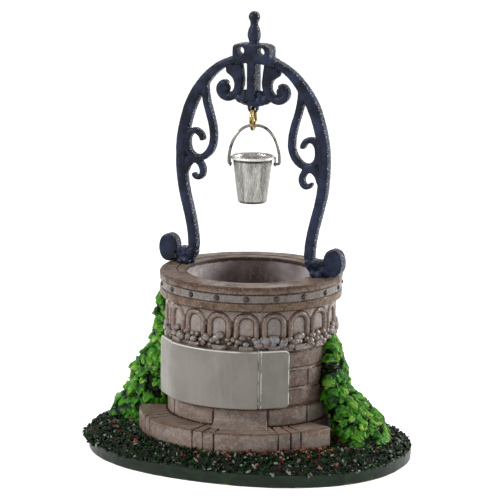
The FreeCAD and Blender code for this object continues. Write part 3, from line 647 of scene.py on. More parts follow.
def makeFrieze():
    f = frieze
    spring = f["archTop"] - f["archOuter"]
    rollInner, rollOuter = f["rollRadius"] - f["rollHalf"], f["rollRadius"] + f["rollHalf"]
    halfPitch = math.pi / f["modules"] * f["face"]

    def relief(a, r, z):
        place = atAngle(a, f["grain"], z)
        off = besideArch(a, f["face"]) + 0.1 * blockNoise(place, size=1.6, seed=31)
        up = z - f["bottom"] + 0.1 * blockNoise(place, size=1.6, seed=32)
        reach = np.where(up > spring, np.hypot(off, up - spring), np.abs(off))
        roll = np.clip(1 - ((reach - f["rollRadius"]) / f["rollHalf"]) ** 2, 0, 1) ** 0.5
        bead = np.clip(1 - ((reach - f["beadRadius"]) / f["beadHalf"]) ** 2, 0, 1) ** 0.5
        inside = 1 - smoothStep(f["beadRadius"] - 0.35, f["beadRadius"] - 0.1, reach)
        outside = smoothStep(rollOuter - 0.1, rollOuter + 0.15, reach)
        slit = 1 - smoothStep(0.05, 0.3, np.abs(np.abs(off) - halfPitch))
        shift = f["rollHeight"] * roll + f["beadHeight"] * bead * (roll < 0.05)
        shift = shift + f["panel"] * inside + f["spandrel"] * outside * (up > spring - 0.6)
        shift = shift - 0.2 * slit * (up < spring + 1.2)
        shift = shift + surfaceWaver(a, r, z, seed=33, size=1.5, depth=0.06)
        # dark lines round the rolls and in the slits; painted shade along the bottom, behind the
        # pebbles, and along the top, under the moulding's overhang
        hollow = np.maximum.reduce([
            0.95 * bell(reach - rollInner + 0.05, 0.16),
            0.85 * bell(reach - rollOuter - 0.05, 0.13),
            0.95 * slit * (up < spring + 1.0), 0.95 * (1 - smoothStep(1.4, 2.7, up)),
            0.7 * smoothStep(f["archTop"] - 0.25, f["archTop"] + 0.2, up)])
        # a pale worn crest on each roll, partly a painted highlight
        crest = bell(reach - f["rollRadius"], 0.2) * (roll > 0)
        worn = np.clip(layeredNoise(place, size=1.1, seed=34, layers=2) + 0.2, 0, 1)
        hollow = hollow - 0.4 * crest * worn
        tone = np.maximum(0.95 * (roll > 0.02), 0.5 * outside)
        return shift * onOuter(r), 0, hollow * onOuter(r), tone

    stoneRing("friezeArcade", ["frieze_ring", "frieze_arches"], "frieze",
              wallOutline(f, fine=0.105, coarse=2.2), relief, columns=f["modules"] * 46)


pebbles = {
    "level": 28.5, "wall": 18.55, "seed": 41,
    # heights over the level of the pebbles that follow each other, one turn of the row per arch
    "heights": (1.7, 0.6, 2.1, -0.4, 1.1, 0.3, 1.6, -0.1, 0.9),
    # angle, height over the level and half length of the large ones
    "large": ((34.0, 1.25, 1.2), (40.5, 1.3, 1.3), (46.5, 0.5, 1.1), (29.0, 1.0, 0.9)),
}


def outwardFrames(angle, tilt, spin, sizes):
    # for each stone: axes along the wall, up and outwards, tipped and spun, times its half sizes
    side = np.stack([np.cos(angle), np.sin(angle), np.zeros_like(angle)], -1)
    out = np.stack([np.sin(angle), -np.cos(angle), np.zeros_like(angle)], -1)
    up = np.broadcast_to([0.0, 0.0, 1.0], side.shape)
    c, s = np.cos(spin)[:, None], np.sin(spin)[:, None]
    first, second = side * c + up * s, up * c - side * s
    c, s = np.cos(tilt)[:, None], np.sin(tilt)[:, None]
    second, third = second * c + out * s, out * c - second * s
    return np.stack([first, second, third], -1) * sizes[:, None, :]


def makePebbles():
    p = pebbles
    dice = np.random.default_rng(p["seed"])
    count = frieze["modules"] * len(p["heights"])
    angle = fullTurn(count) + dice.uniform(-0.016, 0.016, count)
    height = np.tile(p["heights"], frieze["modules"]) + dice.uniform(-0.3, 0.3, count)
    wide = dice.uniform(0.55, 1.05, count) * np.where(height < 0.3, 0.8, 1.0)
    sizes = np.stack([wide, wide * dice.uniform(0.68, 1.0, count),
                      wide * dice.uniform(0.6, 0.85, count)], -1)
    tone = np.clip(dice.normal(0.45, 0.38, count), -0.3, 1.2)
    bigAngle, bigHeight, bigHalf = np.array(p["large"]).T
    angle = np.concatenate([angle, np.radians(bigAngle)])
    height = np.concatenate([height, bigHeight])
    sizes = np.concatenate([sizes, np.stack([bigHalf, bigHalf * 0.7, bigHalf * 0.6], -1)])
    tone = np.concatenate([tone, np.full(len(bigHalf), -0.8)])
    total = len(angle)
    frames = outwardFrames(angle, dice.uniform(-0.3, 0.3, total), dice.uniform(-0.5, 0.5, total),
                           sizes)
    out = p["wall"] + 0.12 + 0.3 * sizes[:, 2] + 0.25 * (height < 1.1)
    centres = atAngle(angle, out, p["level"] + height)
    shape, faces = closedBall(rings=9, sides=14)
    shape = shape * (1 + 0.12 * blockNoise(shape, size=0.7, seed=42))[:, None]
    piece = scatter("cobbleRow", shape, faces, frames, centres,
                    {"tone": tone, "hollow": np.zeros(total)})
    finishPiece(piece, "well", stonePaints["pebble"], "stone_paint", "frieze_pebbles")


lowerMoulding = {"bottom": 26.8, "top": 28.5, "radius": 18.6, "bore": 14.3, "block": 1.55,
                 "blockBottom": 27.15, "stand": 0.75}


def makeLowerMoulding():
    m = lowerMoulding
    radius, bottom, top, bore = m["radius"], m["bottom"], m["top"], m["bore"]
    outline = np.concatenate([
        densePath([(radius - 0.35, bottom), (radius, bottom + 0.25), (radius, top)], 0.1),
        densePath([(radius, top), (bore, top), (bore, bottom)], 2.2)[1:]])

    def relief(a, r, z):
        waver = 0.4 * blockNoise(atAngle(a, frieze["grain"], z), 1.1, 51)
        toEnd = np.abs(besideArch(a, frieze["face"]) + waver) - m["block"]
        block = 1 - smoothStep(-0.12, 0.12, toEnd)
        block = block * smoothStep(m["blockBottom"] - 0.1, m["blockBottom"] + 0.12, z)
        shift = m["stand"] * block + surfaceWaver(a, r, z, seed=52, size=1.1, depth=0.16)
        hollow = np.maximum(0.8 * bell(toEnd - 0.1, 0.16),
                            0.5 * (1 - smoothStep(bottom + 0.2, bottom + 0.5, z)))
        return shift * onOuter(r), 0, hollow * onOuter(r), 0.2 + 0.2 * block

    stoneRing("corbelRing", ["lower_moulding"], "frieze", outline, relief,
              columns=frieze["modules"] * 44)


# The rim: four plain rings, each with wavering faces and its own mark of dark wash and painted
# shade

def waveredRing(name, nodes, paint, outline, washAndPaintedLight, columns, seed, depth, size, tones):
    def relief(a, r, z):
        place = atAngle(a, r, z)
        bore = rim["bore"]
        outer = np.maximum(smoothStep(bore + 0.26, bore + 1.06, r), 0.5 * (r < bore - 0.09))
        shift = surfaceWaver(a, r, z, seed, size, depth) * outer
        lift = depth * 0.6 * layeredNoise(place, size * 1.3, seed + 3) * outer
        tone = tones(a) + 0.4 * layeredNoise(place, 5.0, seed + 5)
        return shift, lift, washAndPaintedLight(a, r, z), tone

    stoneRing(name, nodes, paint, outline, relief, columns)


def towards(a, degrees):
    # 1 in a direction, falling to 0 at a right angle from it
    return np.clip(np.cos(a - math.radians(degrees)), 0, 1)


rim = {
    "mouldingBottom": 36.4, "mouldingTop": 38.35, "mouldingRadius": 20.4,
    "bandTop": 40.25, "bandRadius": 20.25, "copingTop": 41.95, "copingRadius": 20.45,
    "bore": 14.34, "innerRing": 16.6, "lining": 0.14,
    # directions of the shaft lining's painted shade, its strongest painted light and a weaker
    # painted light; the coping's top is also darker towards the first
    "darkest": 204, "palest": -66, "paler": 110,
}


def makeMoulding():
    low, high, radius, bore = (rim[k] for k in ("mouldingBottom", "mouldingTop", "mouldingRadius",
                                                "bore"))
    outline = np.concatenate([
        densePath([(bore, low), (radius - 0.75, low)], 1.2),
        arcPath((radius - 0.6, low + 0.55), 0.6, -80, 0, 9),
        densePath([(radius, low + 0.6), (radius, high - 0.35)], 0.14),
        arcPath((radius - 0.3, high - 0.3), 0.3, 0, 90, 6),
        densePath([(radius - 0.5, high), (bore, high)], 1.4)])

    def washAndPaintedLight(a, r, z):
        # painted shade along the bottom of the outer face, under the moulding's overhang, and a
        # little darker along its top
        under, over = smoothStep(0.35, 0.0, z - low), smoothStep(0.3, 0.0, high - z)
        return (0.85 * under + 0.35 * over) * (r > wallFace)

    waveredRing("brownMoulding", ["cap_moulding"], "moulding", outline, washAndPaintedLight, columns=640, seed=61,
                depth=0.11, size=1.5, tones=lambda a: 0.25)


def makeBand():
    low, high, radius, bore = (rim[k] for k in ("mouldingTop", "bandTop", "bandRadius", "bore"))
    outline = np.concatenate([
        densePath([(bore, low), (radius, low)], 1.6),
        densePath([(radius, low), (radius, high)], 0.12),
        densePath([(radius, high), (bore, high)], 1.6)])

    def washAndPaintedLight(a, r, z):
        # painted shade along the band's bottom and top, where it lies back between the moulding and
        # the coping, and in a ring round each rivet
        under, over = smoothStep(0.32, 0.05, z - low), smoothStep(0.3, 0.05, high - z)
        fromRivet = np.hypot(besideArch(a, radius), z - (low + high) / 2)
        around = 0.9 * bell(fromRivet - 0.55, 0.16)
        return np.maximum.reduce([0.75 * under, 0.8 * over, around]) * (r > wallFace)

    waveredRing("greyBand", ["rivet_band"], "band", outline, washAndPaintedLight, columns=700, seed=71,
                depth=0.08, size=1.3, tones=lambda a: 0.1)


def makeCoping():
    low, high, radius, bore, ring = (rim[k] for k in ("bandTop", "copingTop", "copingRadius",
                                                      "bore", "innerRing"))
    outline = np.concatenate([
        densePath([(bore, low), (radius - 0.25, low)], 1.6),
        arcPath((radius - 0.25, low + 0.25), 0.25, -90, 0, 5),
        densePath([(radius, low + 0.28), (radius, high - 0.42)], 0.14),
        arcPath((radius - 0.4, high - 0.4), 0.4, 0, 90, 8),
        densePath([(radius - 0.5, high), (ring + 0.1, high)], 0.22),
        densePath([(ring, high - 0.1), (bore + 0.35, high - 0.12)], 0.2),
        arcPath((bore + 0.3, high - 0.42), 0.3, 90, 180, 6),
        densePath([(bore, high - 0.5), (bore, low)], 0.6)])

    def washAndPaintedLight(a, r, z):
        # a dark line in the groove round the top and a darker outer top edge, with painted shade
        # under the coping's overhang and on the bore's face under the lip
        return np.maximum.reduce([
            0.6 * bell(r - ring - 0.05, 0.13) * (z > high - 0.3),
            0.42 * smoothStep(0.5, 0.0, radius - r) * smoothStep(high - 1.4, high - 0.2, z),
            0.8 * smoothStep(0.3, 0.05, z - low) * (r > wallFace),
            0.6 * smoothStep(bore + 0.2, bore + 0.02, r)])

    waveredRing("copingRing", ["coping_ring"], "coping", outline, washAndPaintedLight, columns=640, seed=81,
                depth=0.11, size=1.9, tones=lambda a: 0.5 * towards(a, rim["darkest"]))


def makeLining():
    bore, top, floor = rim["bore"], rim["copingTop"], plinth["floor"]
    inner = bore - rim["lining"]
    outline = np.concatenate([densePath([(bore, floor), (bore, top - 0.55)], 2.0),
                              densePath([(inner, top - 0.62), (inner, floor)], 0.5)])

    def washAndPaintedLight(a, r, z):
        # painted shade just under the lip, towards the back
        behind = smoothStep(60, 120, np.abs(besideFront(a)))
        return 0.8 * smoothStep(top - 1.0, top - 0.7, z) * behind

    def tones(a):
        # painted light and shade round the lining: shaded towards the back, palest to one side and
        # a little pale to the other
        dark = 0.3 * np.cos(a - math.radians(rim["darkest"]))
        return 0.52 + dark - 0.52 * towards(a, rim["palest"]) - 0.26 * towards(a, rim["paler"])

    waveredRing("shaftLining", [], "shaft", outline, washAndPaintedLight, columns=200, seed=85,
                depth=0.1, size=5.0, tones=tones)


rivets = {"radius": 0.56, "height": 0.42, "middle": 39.3, "wall": 20.26}


def makeRivets():
    v = rivets
    count = frieze["modules"]
    angle = math.radians(frieze["firstModule"]) + fullTurn(count)
    dice = np.random.default_rng(8)
    sizes = np.array([v["radius"], v["radius"], v["height"]]) * dice.uniform(0.88, 1.1, (count, 1))
    frames = outwardFrames(angle, dice.uniform(-0.2, 0.2, count), dice.uniform(-1, 1, count), sizes)
    centres = atAngle(angle, v["wall"], v["middle"] + dice.uniform(-0.06, 0.06, count))
    tone, hollow = dice.uniform(0.6, 1.0, count), dice.uniform(0.15, 0.6, count)
    piece = scatter("domedRivets", *closedBall(rings=10, sides=16), frames, centres,
                    {"tone": tone, "hollow": hollow})
    finishPiece(piece, "well", stonePaints["rivet"], "rivet_paint", "band_rivets")


step = {
    "radius": 24.9, "inner": 18.4, "bottom": 3.0, "top": 10.2, "nose": 0.55, "halfAngle": 70.0,
    "joints": (-51, -45, -39, -6, 0, 6, 39.2, 45.8, 51.4), "jointWidth": 0.3, "jointDepth": 0.3,
}


def makeStep():
    s = step
    radius, inner, bottom, top, nose = (s[k] for k in ("radius", "inner", "bottom", "top", "nose"))
    outline = np.concatenate([
        densePath([(inner, bottom), (radius, bottom)], 2.0),
        densePath([(radius, bottom), (radius, top - nose)], 0.16)[1:],
        arcPath((radius - nose, top - nose), nose, 6, 90, 8),
        densePath([(radius - nose - 0.05, top), (inner, top)], 0.16),
        densePath([(inner, top), (inner, bottom)], 2.0)[1:-1]])

    def relief(a, r, z):
        front = smoothStep(radius - 0.9, radius - 0.5, r)
        shown = np.maximum(front, smoothStep(top - 0.5, top, z))
        place = atAngle(a, r, z)
        waver = 0.16 * blockNoise(place, size=1.7, seed=91)
        beside = besideFront(a)
        toJoint = np.min([np.abs(angleGap(a, math.radians(joint))) * r + waver
                          for joint in s["joints"]], axis=0)
        dig = s["jointDepth"] * (1 - smoothStep(0.02, s["jointWidth"], toJoint))
        flat = smoothStep(top - 0.3, top, z) * smoothStep(radius - 0.3, radius - 0.7, r)
        skin = surfaceWaver(a, r, z, seed=92, size=2.2, depth=0.12)
        outside = smoothStep(plinth["coveTo"], plinth["coveTo"] + 3, beside) + smoothStep(
            0.0, -4.0, beside)
        # dark joints, a dark line over the nose, painted shade on the top where it meets the plinth
        # away from the cove, and darker towards the bottom
        hollow = np.maximum.reduce([
            1.1 * (1 - smoothStep(0.05, 0.26, toJoint)),
            0.5 * bell((radius - r) - (top - z) - 0.1, 0.5) * (z > top - 0.8),
            0.8 * smoothStep(0.7, 0.1, r - plinth["radius"]) * flat * outside,
            0.5 * smoothStep(bottom + 4.0, bottom + 2.6, z)])
        tone = 0.35 + 0.3 * layeredNoise(place, size=7.0, seed=93) + 0.25 * flat
        return (skin - dig) * shown * (1 - flat), (skin * 0.7 - dig) * flat, hollow * shown, tone

    stoneRing("curvedStep", ["stone_step"], "slab", outline, relief, columns=620,
              start=-s["halfAngle"], sweep=2 * s["halfAngle"])


makePlinth()
makeWall()
makeLowerMoulding()
makeFrieze()
makePebbles()
makeMoulding()
makeBand()
makeCoping()
makeLining()
makeRivets()
makeStep()
print("stonework ready")


# Sign. Each panel is a closed slab bent about the axis, with rounded edges.

sign = {
    "middle": -2.5, "centreHalf": 31.5, "endHalf": 52.0, "bottom": 14.7, "top": 27.7,
    "centreRadius": 20.8, "sideRadius": 20.45, "back": 18.6, "round": 0.3, "corner": 1.3,
    "square": 0.25,         # corner at an end that meets the next panel
    "dish": 0.18,           # the side panels are pressed in a little
}


def edgeDrop(distance, radius, share):
    # how far a rounded edge falls away, by the distance from the edge
    t = np.clip(1 - distance / radius, 0, 1)
    return radius * (1 - np.sqrt(1 - share * t * t))


def signPanel(name, node, start, end, radius, roundStart, roundEnd, washAndPaintedLight):
    s = sign
    columns, rows = 220, 84
    a = np.radians(np.linspace(s["middle"] + start, s["middle"] + end, columns))
    fromStart, fromEnd = (a - a[0]) * radius, (a[-1] - a) * radius
    # the panel's half height, and how far its face stands back, near a rounded end
    half = np.full(columns, (s["top"] - s["bottom"]) / 2)
    drop = np.zeros(columns)
    for distance, rounded in ((fromStart, roundStart), (fromEnd, roundEnd)):
        half = half - 0.92 * edgeDrop(distance, s["corner" if rounded else "square"], 1.0)
        drop = drop + edgeDrop(distance, s["round"], 0.98)
    centre = (s["top"] + s["bottom"]) / 2
    face = np.sin(np.linspace(-math.pi / 2, math.pi / 2, rows))[:, None]    # crowded at the edges
    height = centre + face * half
    fromEdge = (1 - np.abs(face)) * half
    dish = bell(fromStart - fromStart.max() / 2, fromStart.max() * 0.3)
    out = radius - drop - edgeDrop(fromEdge, s["round"], 0.98)
    out = out - s["dish"] * dish * (roundStart or roundEnd)
    out = out + 0.05 * layeredNoise(atAngle(a, out, height), 3.0, 101)
    low, high = (atAngle(a, s["back"], centre + side * half)[None] for side in (-1, 1))
    plain = np.zeros((1, columns))
    hollow = np.concatenate([plain, washAndPaintedLight(fromStart, fromEnd, height, fromEdge), plain])
    piece = gridPiece(name, np.concatenate([low, atAngle(a, out, height), high]), closeRows=True,
                      endColumns=True, marks={"hollow": hollow})
    finishPiece(piece, "well", signMaterial, "sign_paint", node)


def brokenHighlightLine(distance, at, height, seed):
    # a thin painted highlight line down a panel, broken in places
    place = np.stack(np.broadcast_arrays(0.0, at, height), -1)
    return bell(distance - at, 0.13) * smoothStep(-0.55, 0.05, layeredNoise(place, 1.6, seed, 2))


def plainShadeAndHighlight(fromStart, fromEnd, height, fromEdge):
    # painted shade along the bottom edge, and a painted white highlight along the rounded top edge,
    # broken in places
    low = 0.35 * smoothStep(0.9, 0.0, height - sign["bottom"])
    edge = bell(fromEdge - 0.16, 0.13) * (height > sign["top"] - 1.5)
    place = np.stack(np.broadcast_arrays(fromStart, height, 0.0), -1)
    return low - edge * smoothStep(-0.6, 0.1, layeredNoise(place, size=4.0, seed=102, layers=2))


def startShadeAndHighlight(fromStart, fromEnd, height, fromEdge):
    # beside the fold at the right panel's start: a line of painted shade between two painted
    # highlight lines, and a painted highlight line beside the panel's rounded end
    lines = brokenHighlightLine(fromStart, 0.15, height, 103) + brokenHighlightLine(fromStart, 0.75, height, 104)
    return plainShadeAndHighlight(fromStart, fromEnd, height, fromEdge) + 0.3 * bell(
        fromStart - 0.45, 0.14) - lines - brokenHighlightLine(fromEnd, 0.2, height, 106)


def endShadeAndHighlight(fromStart, fromEnd, height, fromEdge):
    # beside the fold at the left panel's end: painted shade at the edge and a faint painted
    # highlight line, with a little painted shade over the whole panel
    return plainShadeAndHighlight(fromStart, fromEnd, height, fromEdge) + 0.14 + 0.2 * bell(
        fromEnd, 0.35) - 0.4 * brokenHighlightLine(fromEnd, 0.7, height, 105)


def makeSign():
    middle, end = sign["centreHalf"], sign["endHalf"]
    signPanel("signCentre", "sign_centre_panel", -middle, middle, sign["centreRadius"],
              False, False, plainShadeAndHighlight)
    signPanel("signLeft", "sign_left_panel", -end, -middle, sign["sideRadius"],
              True, False, endShadeAndHighlight)
    signPanel("signRight", "sign_right_panel", middle, end, sign["sideRadius"],
              False, True, startShadeAndHighlight)


signMaterial = signPaint()
makeSign()
print("sign ready")


# Base and ground cover

base = {"halfLength": 36.8, "halfDepth": 29.6, "power": 2.2, "thickness": 3.0, "flare": 0.2,
        "drum": 18.3, "step": 24.7, "stepAngle": 70.5, "columns": 900}


def ovalReach(angle, inset):
    # distance from the axis to the superellipse, at an angle from the front
    x, y = np.abs(np.sin(angle)), np.abs(np.cos(angle))
    n = base["power"]
    a, b = base["halfLength"] - inset, base["halfDepth"] - inset
    return ((x / a) ** n + (y / b) ** n) ** (-1 / n)


def makeBase():
    thickness = base["thickness"]
    angle = fullTurn(base["columns"])
    heights = np.concatenate([[0.0, 0.05], np.linspace(0.3, thickness - 0.15, 22),
                              [thickness - 0.05]])[:, None]
    inset = 0.35 * np.clip(1 - heights / 0.3, 0, 1) - base["flare"] * heights / thickness
    reach = ovalReach(angle, inset)
    place = atAngle(angle, reach, heights)
    reach = reach + 0.11 * layeredNoise(place, size=4.5, seed=111)
    reach = reach + 0.05 * blockNoise(place, size=1.2, seed=112)
    grid = np.concatenate([atAngle(angle, 0.5, 0.0)[None], atAngle(angle, reach, heights),
                           atAngle(angle, 10.0, thickness)[None]])
    piece = gridPiece("baseRim", grid, closeColumns=True, endRows=True)
    finishPiece(piece, "well", basePaint(), "base_paint", "base_plate")


ground = {
    "edgeHeight": 3.0, "firstRise": 1.9, "secondRise": 0.8, "sideDrop": 0.6,
    # places round the oval, each with its angle in degrees, its half width in radians and its
    # strength: where the cover lies lower, where it hangs over the rim and where it is drawn in
    "lower": (130, 0.75, 0.5), "overhang": (-66, 0.6, 0.7), "drawnIn": (110, 0.7, 0.7),
    "lumpSize": 1.1, "lumpDepth": 0.42, "crumbs": 7900, "reds": 240, "bunch": 4,
    "widest": 19.0,         # a little more than the cover's greatest width
}


def placeShare(angle, key):
    middle, width, strength = ground[key]
    return strength * bell(angleGap(angle, math.radians(middle)), width)


def groundEdges(angle):
    # outer edge of the ground, and its inner one at the step in front and the plinth elsewhere
    outer = ovalReach(angle, -0.2) + placeShare(angle, "overhang") - placeShare(angle, "drawnIn")
    front = np.abs(besideFront(angle)) < base["stepAngle"]
    return outer, np.where(front, base["step"], base["drum"])


def groundHeight(share, angle, width):
    # height of the ground over its width, from the rim (0) to the stone (1)
    g = ground
    inward = share * width
    rise = g["firstRise"] * (1 - placeShare(angle, "lower")) * smoothStep(-0.3, 2.4, inward)
    rise = rise + g["secondRise"] * smoothStep(1.5, 5.5, inward)
    sides = smoothStep(50, 80, np.abs(besideFront(angle)))
    return g["edgeHeight"] + rise - g["sideDrop"] * sides * smoothStep(2.0, 5.0, inward)


def groundLumps(place):
    return ground["lumpDepth"] * layeredNoise(place, ground["lumpSize"], 121)


def makeGround():
    level = ground["edgeHeight"]
    angle = fullTurn(base["columns"])
    outer, inner = groundEdges(angle)
    share = np.linspace(0, 1, 84)[:, None]
    reach = outer - share * (outer - inner)
    height = groundHeight(share, angle, outer - inner)
    place = atAngle(angle, reach, height)
    lift = groundLumps(place) + 0.25 * np.abs(blockNoise(place, size=0.5, seed=122))
    lift = lift * smoothStep(0.0, 0.04, share)
    reach = reach + 0.25 * blockNoise(place, size=0.7, seed=123) * smoothStep(0.0, 0.03, share)
    grid = np.concatenate([
        atAngle(angle, outer - 0.4, level - 0.2)[None],
        atAngle(angle, reach, np.maximum(height + lift, level - 0.1)),
        atAngle(angle, inner - 0.1, level - 0.2)[None]])
    piece = gridPiece("groundBed", grid, closeRows=True, closeColumns=True,
                      marks={"tone": np.zeros(grid.shape[:2])})
    finishPiece(piece, "well", groundPaint("groundEnamel", "#040703", "#0d160c", "#1b2a19"),
                "planting", "planting_bed")


def groundPoints(dice, low, high, angle):
    # a place on the ground for each angle, at a random share of the ground's width
    outer, inner = groundEdges(angle)
    share = dice.uniform(low, high, len(angle))
    height = groundHeight(share, angle, outer - inner)
    place = atAngle(angle, outer - share * (outer - inner), height)
    place[:, 2] += groundLumps(place)
    return place


def evenAngles(dice, count):
    # random angles, as many as the ground is wide at each
    angle = dice.uniform(-math.pi, math.pi, count * 3)
    outer, inner = groundEdges(angle)
    return angle[dice.uniform(0, ground["widest"], len(angle)) < outer - inner][:count]


def crumbShape():
    # a twelve-cornered crumb of twenty flat faces
    g = (1 + 5 ** 0.5) / 2
    points = np.array([(-1, g, 0), (1, g, 0), (-1, -g, 0), (1, -g, 0), (0, -1, g), (0, 1, g),
                       (0, -1, -g), (0, 1, -g), (g, 0, -1), (g, 0, 1), (-g, 0, -1), (-g, 0, 1)])
    faces = np.array([(0, 11, 5), (0, 5, 1), (0, 1, 7), (0, 7, 10), (0, 10, 11), (1, 5, 9),
                      (5, 11, 4), (11, 10, 2), (10, 7, 6), (7, 1, 8), (3, 9, 4), (3, 4, 2),
                      (3, 2, 6), (3, 6, 8), (3, 8, 9), (4, 9, 5), (2, 4, 11), (6, 2, 10),
                      (8, 6, 7), (9, 8, 1)])
    return points / np.linalg.norm(points[0]), faces


def crumbPiece(name, frames, place, tone, material):
    piece = scatter(name, *crumbShape(), frames, place, {"tone": tone}, smooth=False)
    finishPiece(piece, "well", material, "planting")


def makeCrumbs():
    g = ground
    dice = np.random.default_rng(17)
    place = groundPoints(dice, -0.03, 0.99, evenAngles(dice, g["crumbs"]))
    count = len(place)
    sizes = dice.uniform(0.7, 1.3, (count, 1)) * dice.uniform(
        (0.12, 0.2, 0.45), (0.28, 0.42, 0.8), (count, 3))
    frames = randomTurns(dice, count) * sizes[:, None, :]
    place[:, 2] += dice.uniform(-0.1, 0.4, count)
    # the palest few crumbs are painted grey-green as painted glints
    crumbPiece("groundCrumbs", frames, place, dice.uniform(0, 1, count),
               groundPaint("crumbEnamel", "#071204", "#1d4216", "#97a295", 0.935))
    # red flowers, a third of them against the step; each is a little bunch of crumbs
    near = np.radians(dice.normal(48, 16, g["reds"] // 3))
    far = np.radians(dice.uniform(-180, 180, g["reds"] // 2))
    place = np.concatenate([groundPoints(dice, 0.78, 0.98, near),
                            groundPoints(dice, 0.1, 0.7, far)])
    place = np.repeat(place, g["bunch"], axis=0)
    count = len(place)
    place = place + dice.normal(0, 0.24, (count, 3)) + [0, 0, 0.3]
    sizes = dice.uniform(0.2, 0.42, (count, 1)) * dice.uniform(0.6, 1.2, (count, 3))
    frames = randomTurns(dice, count) * sizes[:, None, :]
    tone = np.repeat(dice.uniform(0.5, 1.0, count // g["bunch"]), g["bunch"])
    crumbPiece("redFlowers", frames, place, tone,
               groundPaint("redEnamel", "#3c1210", "#7c3129", "#a96a55", 0.85))


makeBase()
makeGround()
makeCrumbs()
print("base and ground ready")


# Ivy. Each plant is one casting: a clump whose skin is pressed with overlapping leaves.

ivy = {
    # for each plant, its levels: height, inner and outer distance from the axis, and half width
    "left": {
        "angle": -94.0, "seed": 23, "leaves": 330,
        "levels": [(4.6, 19.5, 34.8, 8.4), (5.9, 19.5, 34.5, 8.2), (8.2, 18.8, 34.0, 8.0),
                   (10.0, 18.0, 32.2, 7.5), (12.5, 17.5, 30.6, 7.0), (16.1, 17.5, 30.0, 6.2),
                   (19.8, 17.5, 27.6, 5.5), (22.2, 17.5, 25.0, 5.0), (25.5, 17.5, 24.4, 4.6),
                   (29.0, 17.5, 24.5, 4.2), (32.5, 17.6, 23.9, 3.6), (35.2, 18.2, 22.9, 2.4)],
    },
    "right": {
        "angle": 97.0, "seed": 29, "leaves": 280,
        "levels": [(4.9, 20.5, 32.4, 8.3), (5.9, 20.5, 32.2, 8.2), (8.0, 20.2, 31.2, 8.0),
                   (9.8, 19.5, 29.8, 7.6), (11.8, 18.8, 27.8, 7.2), (13.4, 18.2, 26.0, 6.9),
                   (15.2, 17.5, 23.9, 6.4), (17.5, 17.2, 22.3, 5.9), (21.0, 17.2, 21.9, 4.9),
                   (23.5, 17.4, 21.5, 4.1), (25.4, 17.6, 20.8, 3.2), (27.0, 18.0, 20.1, 2.2)],
    },
    # the wall behind them, as height and radius
    "wall": [(0.0, 18.3), (14.2, 18.3), (14.3, 17.95), (26.8, 17.95), (27.0, 18.3), (36.3, 18.4),
             (36.6, 20.2), (45.0, 20.2)],
    "inset": 0.7, "rows": 210, "columns": 300, "cap": 1.0,
    "leafLength": (2.1, 3.6), "leafWidth": (1.0, 1.75), "leafHeight": (0.7, 1.45),
}


def wallReach(height):
    return np.interp(height, *np.array(ivy["wall"]).T)


def clumpGrid(side):
    # a stack of ellipses, one for each level, ending in a rounded cap; what would lie inside the
    # well's wall is moved straight out to it
    levels, inners, outers, halves = np.array(side["levels"]).T
    rise = np.linspace(levels[0], levels[-1], ivy["rows"])
    dome = np.radians(np.linspace(0, 84, 14))[1:]
    height = np.concatenate([rise, rise[-1] + ivy["cap"] * np.sin(dome)])
    shrink = np.concatenate([np.ones(len(rise)), np.cos(dome)])[:, None]
    inner, outer, half = (np.interp(height, levels, v)[:, None] for v in (inners, outers, halves))
    turn = fullTurn(ivy["columns"])
    out = (inner + outer) / 2 + ((outer - inner) / 2 - ivy["inset"]) * shrink * np.cos(turn)
    along = (half - ivy["inset"]) * shrink * np.sin(turn)
    angle = math.radians(side["angle"])
    x = out * math.sin(angle) + along * math.cos(angle)
    y = -out * math.cos(angle) + along * math.sin(angle)
    z = np.broadcast_to(height[:, None], x.shape)
    push = np.maximum(wallReach(z) / np.hypot(x, y), 1)
    return np.stack([x * push, y * push, z], -1)


def gridNormals(grid):
    # cross product of the two directions of the grid, which closes on itself along its columns,
    # turned to face away from the middle of each row
    along = np.roll(grid, -1, 1) - np.roll(grid, 1, 1)
    normal = np.cross(along, np.gradient(grid, axis=0))
    normal = normal / np.maximum(np.linalg.norm(normal, axis=-1, keepdims=True), 1e-9)
    return normal * np.sign(((grid - grid.mean(1, keepdims=True)) * normal).sum())


def pressLeaves(side, grid, normal, outside, dice):
    # each leaf is a drop shape, narrow at its stalk and tip, domed across, with a fold down its
    # middle, and higher towards its tip; where leaves overlap, the higher one shows
    lift, tone = np.zeros(grid.shape[:2]), np.zeros(grid.shape[:2])
    free = np.flatnonzero(outside > 0.4)
    stretch = np.linalg.norm(np.roll(grid, -1, 1) - grid, axis=-1).ravel()[free]
    picks = dice.uniform(0, stretch.sum(), side["leaves"])
    chosen = free[np.searchsorted(np.cumsum(stretch), picks)]
    for middle, face in zip(grid.reshape(-1, 3)[chosen], normal.reshape(-1, 3)[chosen]):
        down = np.array([0, 0, -1.0]) + dice.normal(0, 0.55, 3)
        down -= face * (down @ face)
        down /= np.linalg.norm(down)
        length, width = dice.uniform(*ivy["leafLength"]), dice.uniform(*ivy["leafWidth"])
        height, stand = dice.uniform(*ivy["leafHeight"]), dice.uniform(0, 0.3)
        shade = dice.uniform(-0.2, 0.35)
        offset = grid - middle
        v = offset @ down / length + 0.5
        u = offset @ np.cross(down, face) / width
        fromStalk = np.clip(v, 0, 1)
        reach = np.sin(math.pi * fromStalk ** 0.75) * (1 + 0.16 * np.cos(5 * math.pi * v))
        inside = np.clip(1 - np.abs(u) / np.maximum(reach, 1e-3), 0, 1)
        near = np.abs(offset @ face) < 1.6
        dome = np.minimum(1, inside * 2.4) ** 0.6
        rise = (stand + height * (0.3 + 0.7 * fromStalk)) * dome * near
        rise = rise - 0.16 * bell(u, 0.13) * (dome > 0.9)
        higher = rise > lift
        lift = np.where(higher, rise, lift)
        tone = np.where(higher, 0.35 + shade + 0.55 * fromStalk * dome, tone)
    return lift, tone


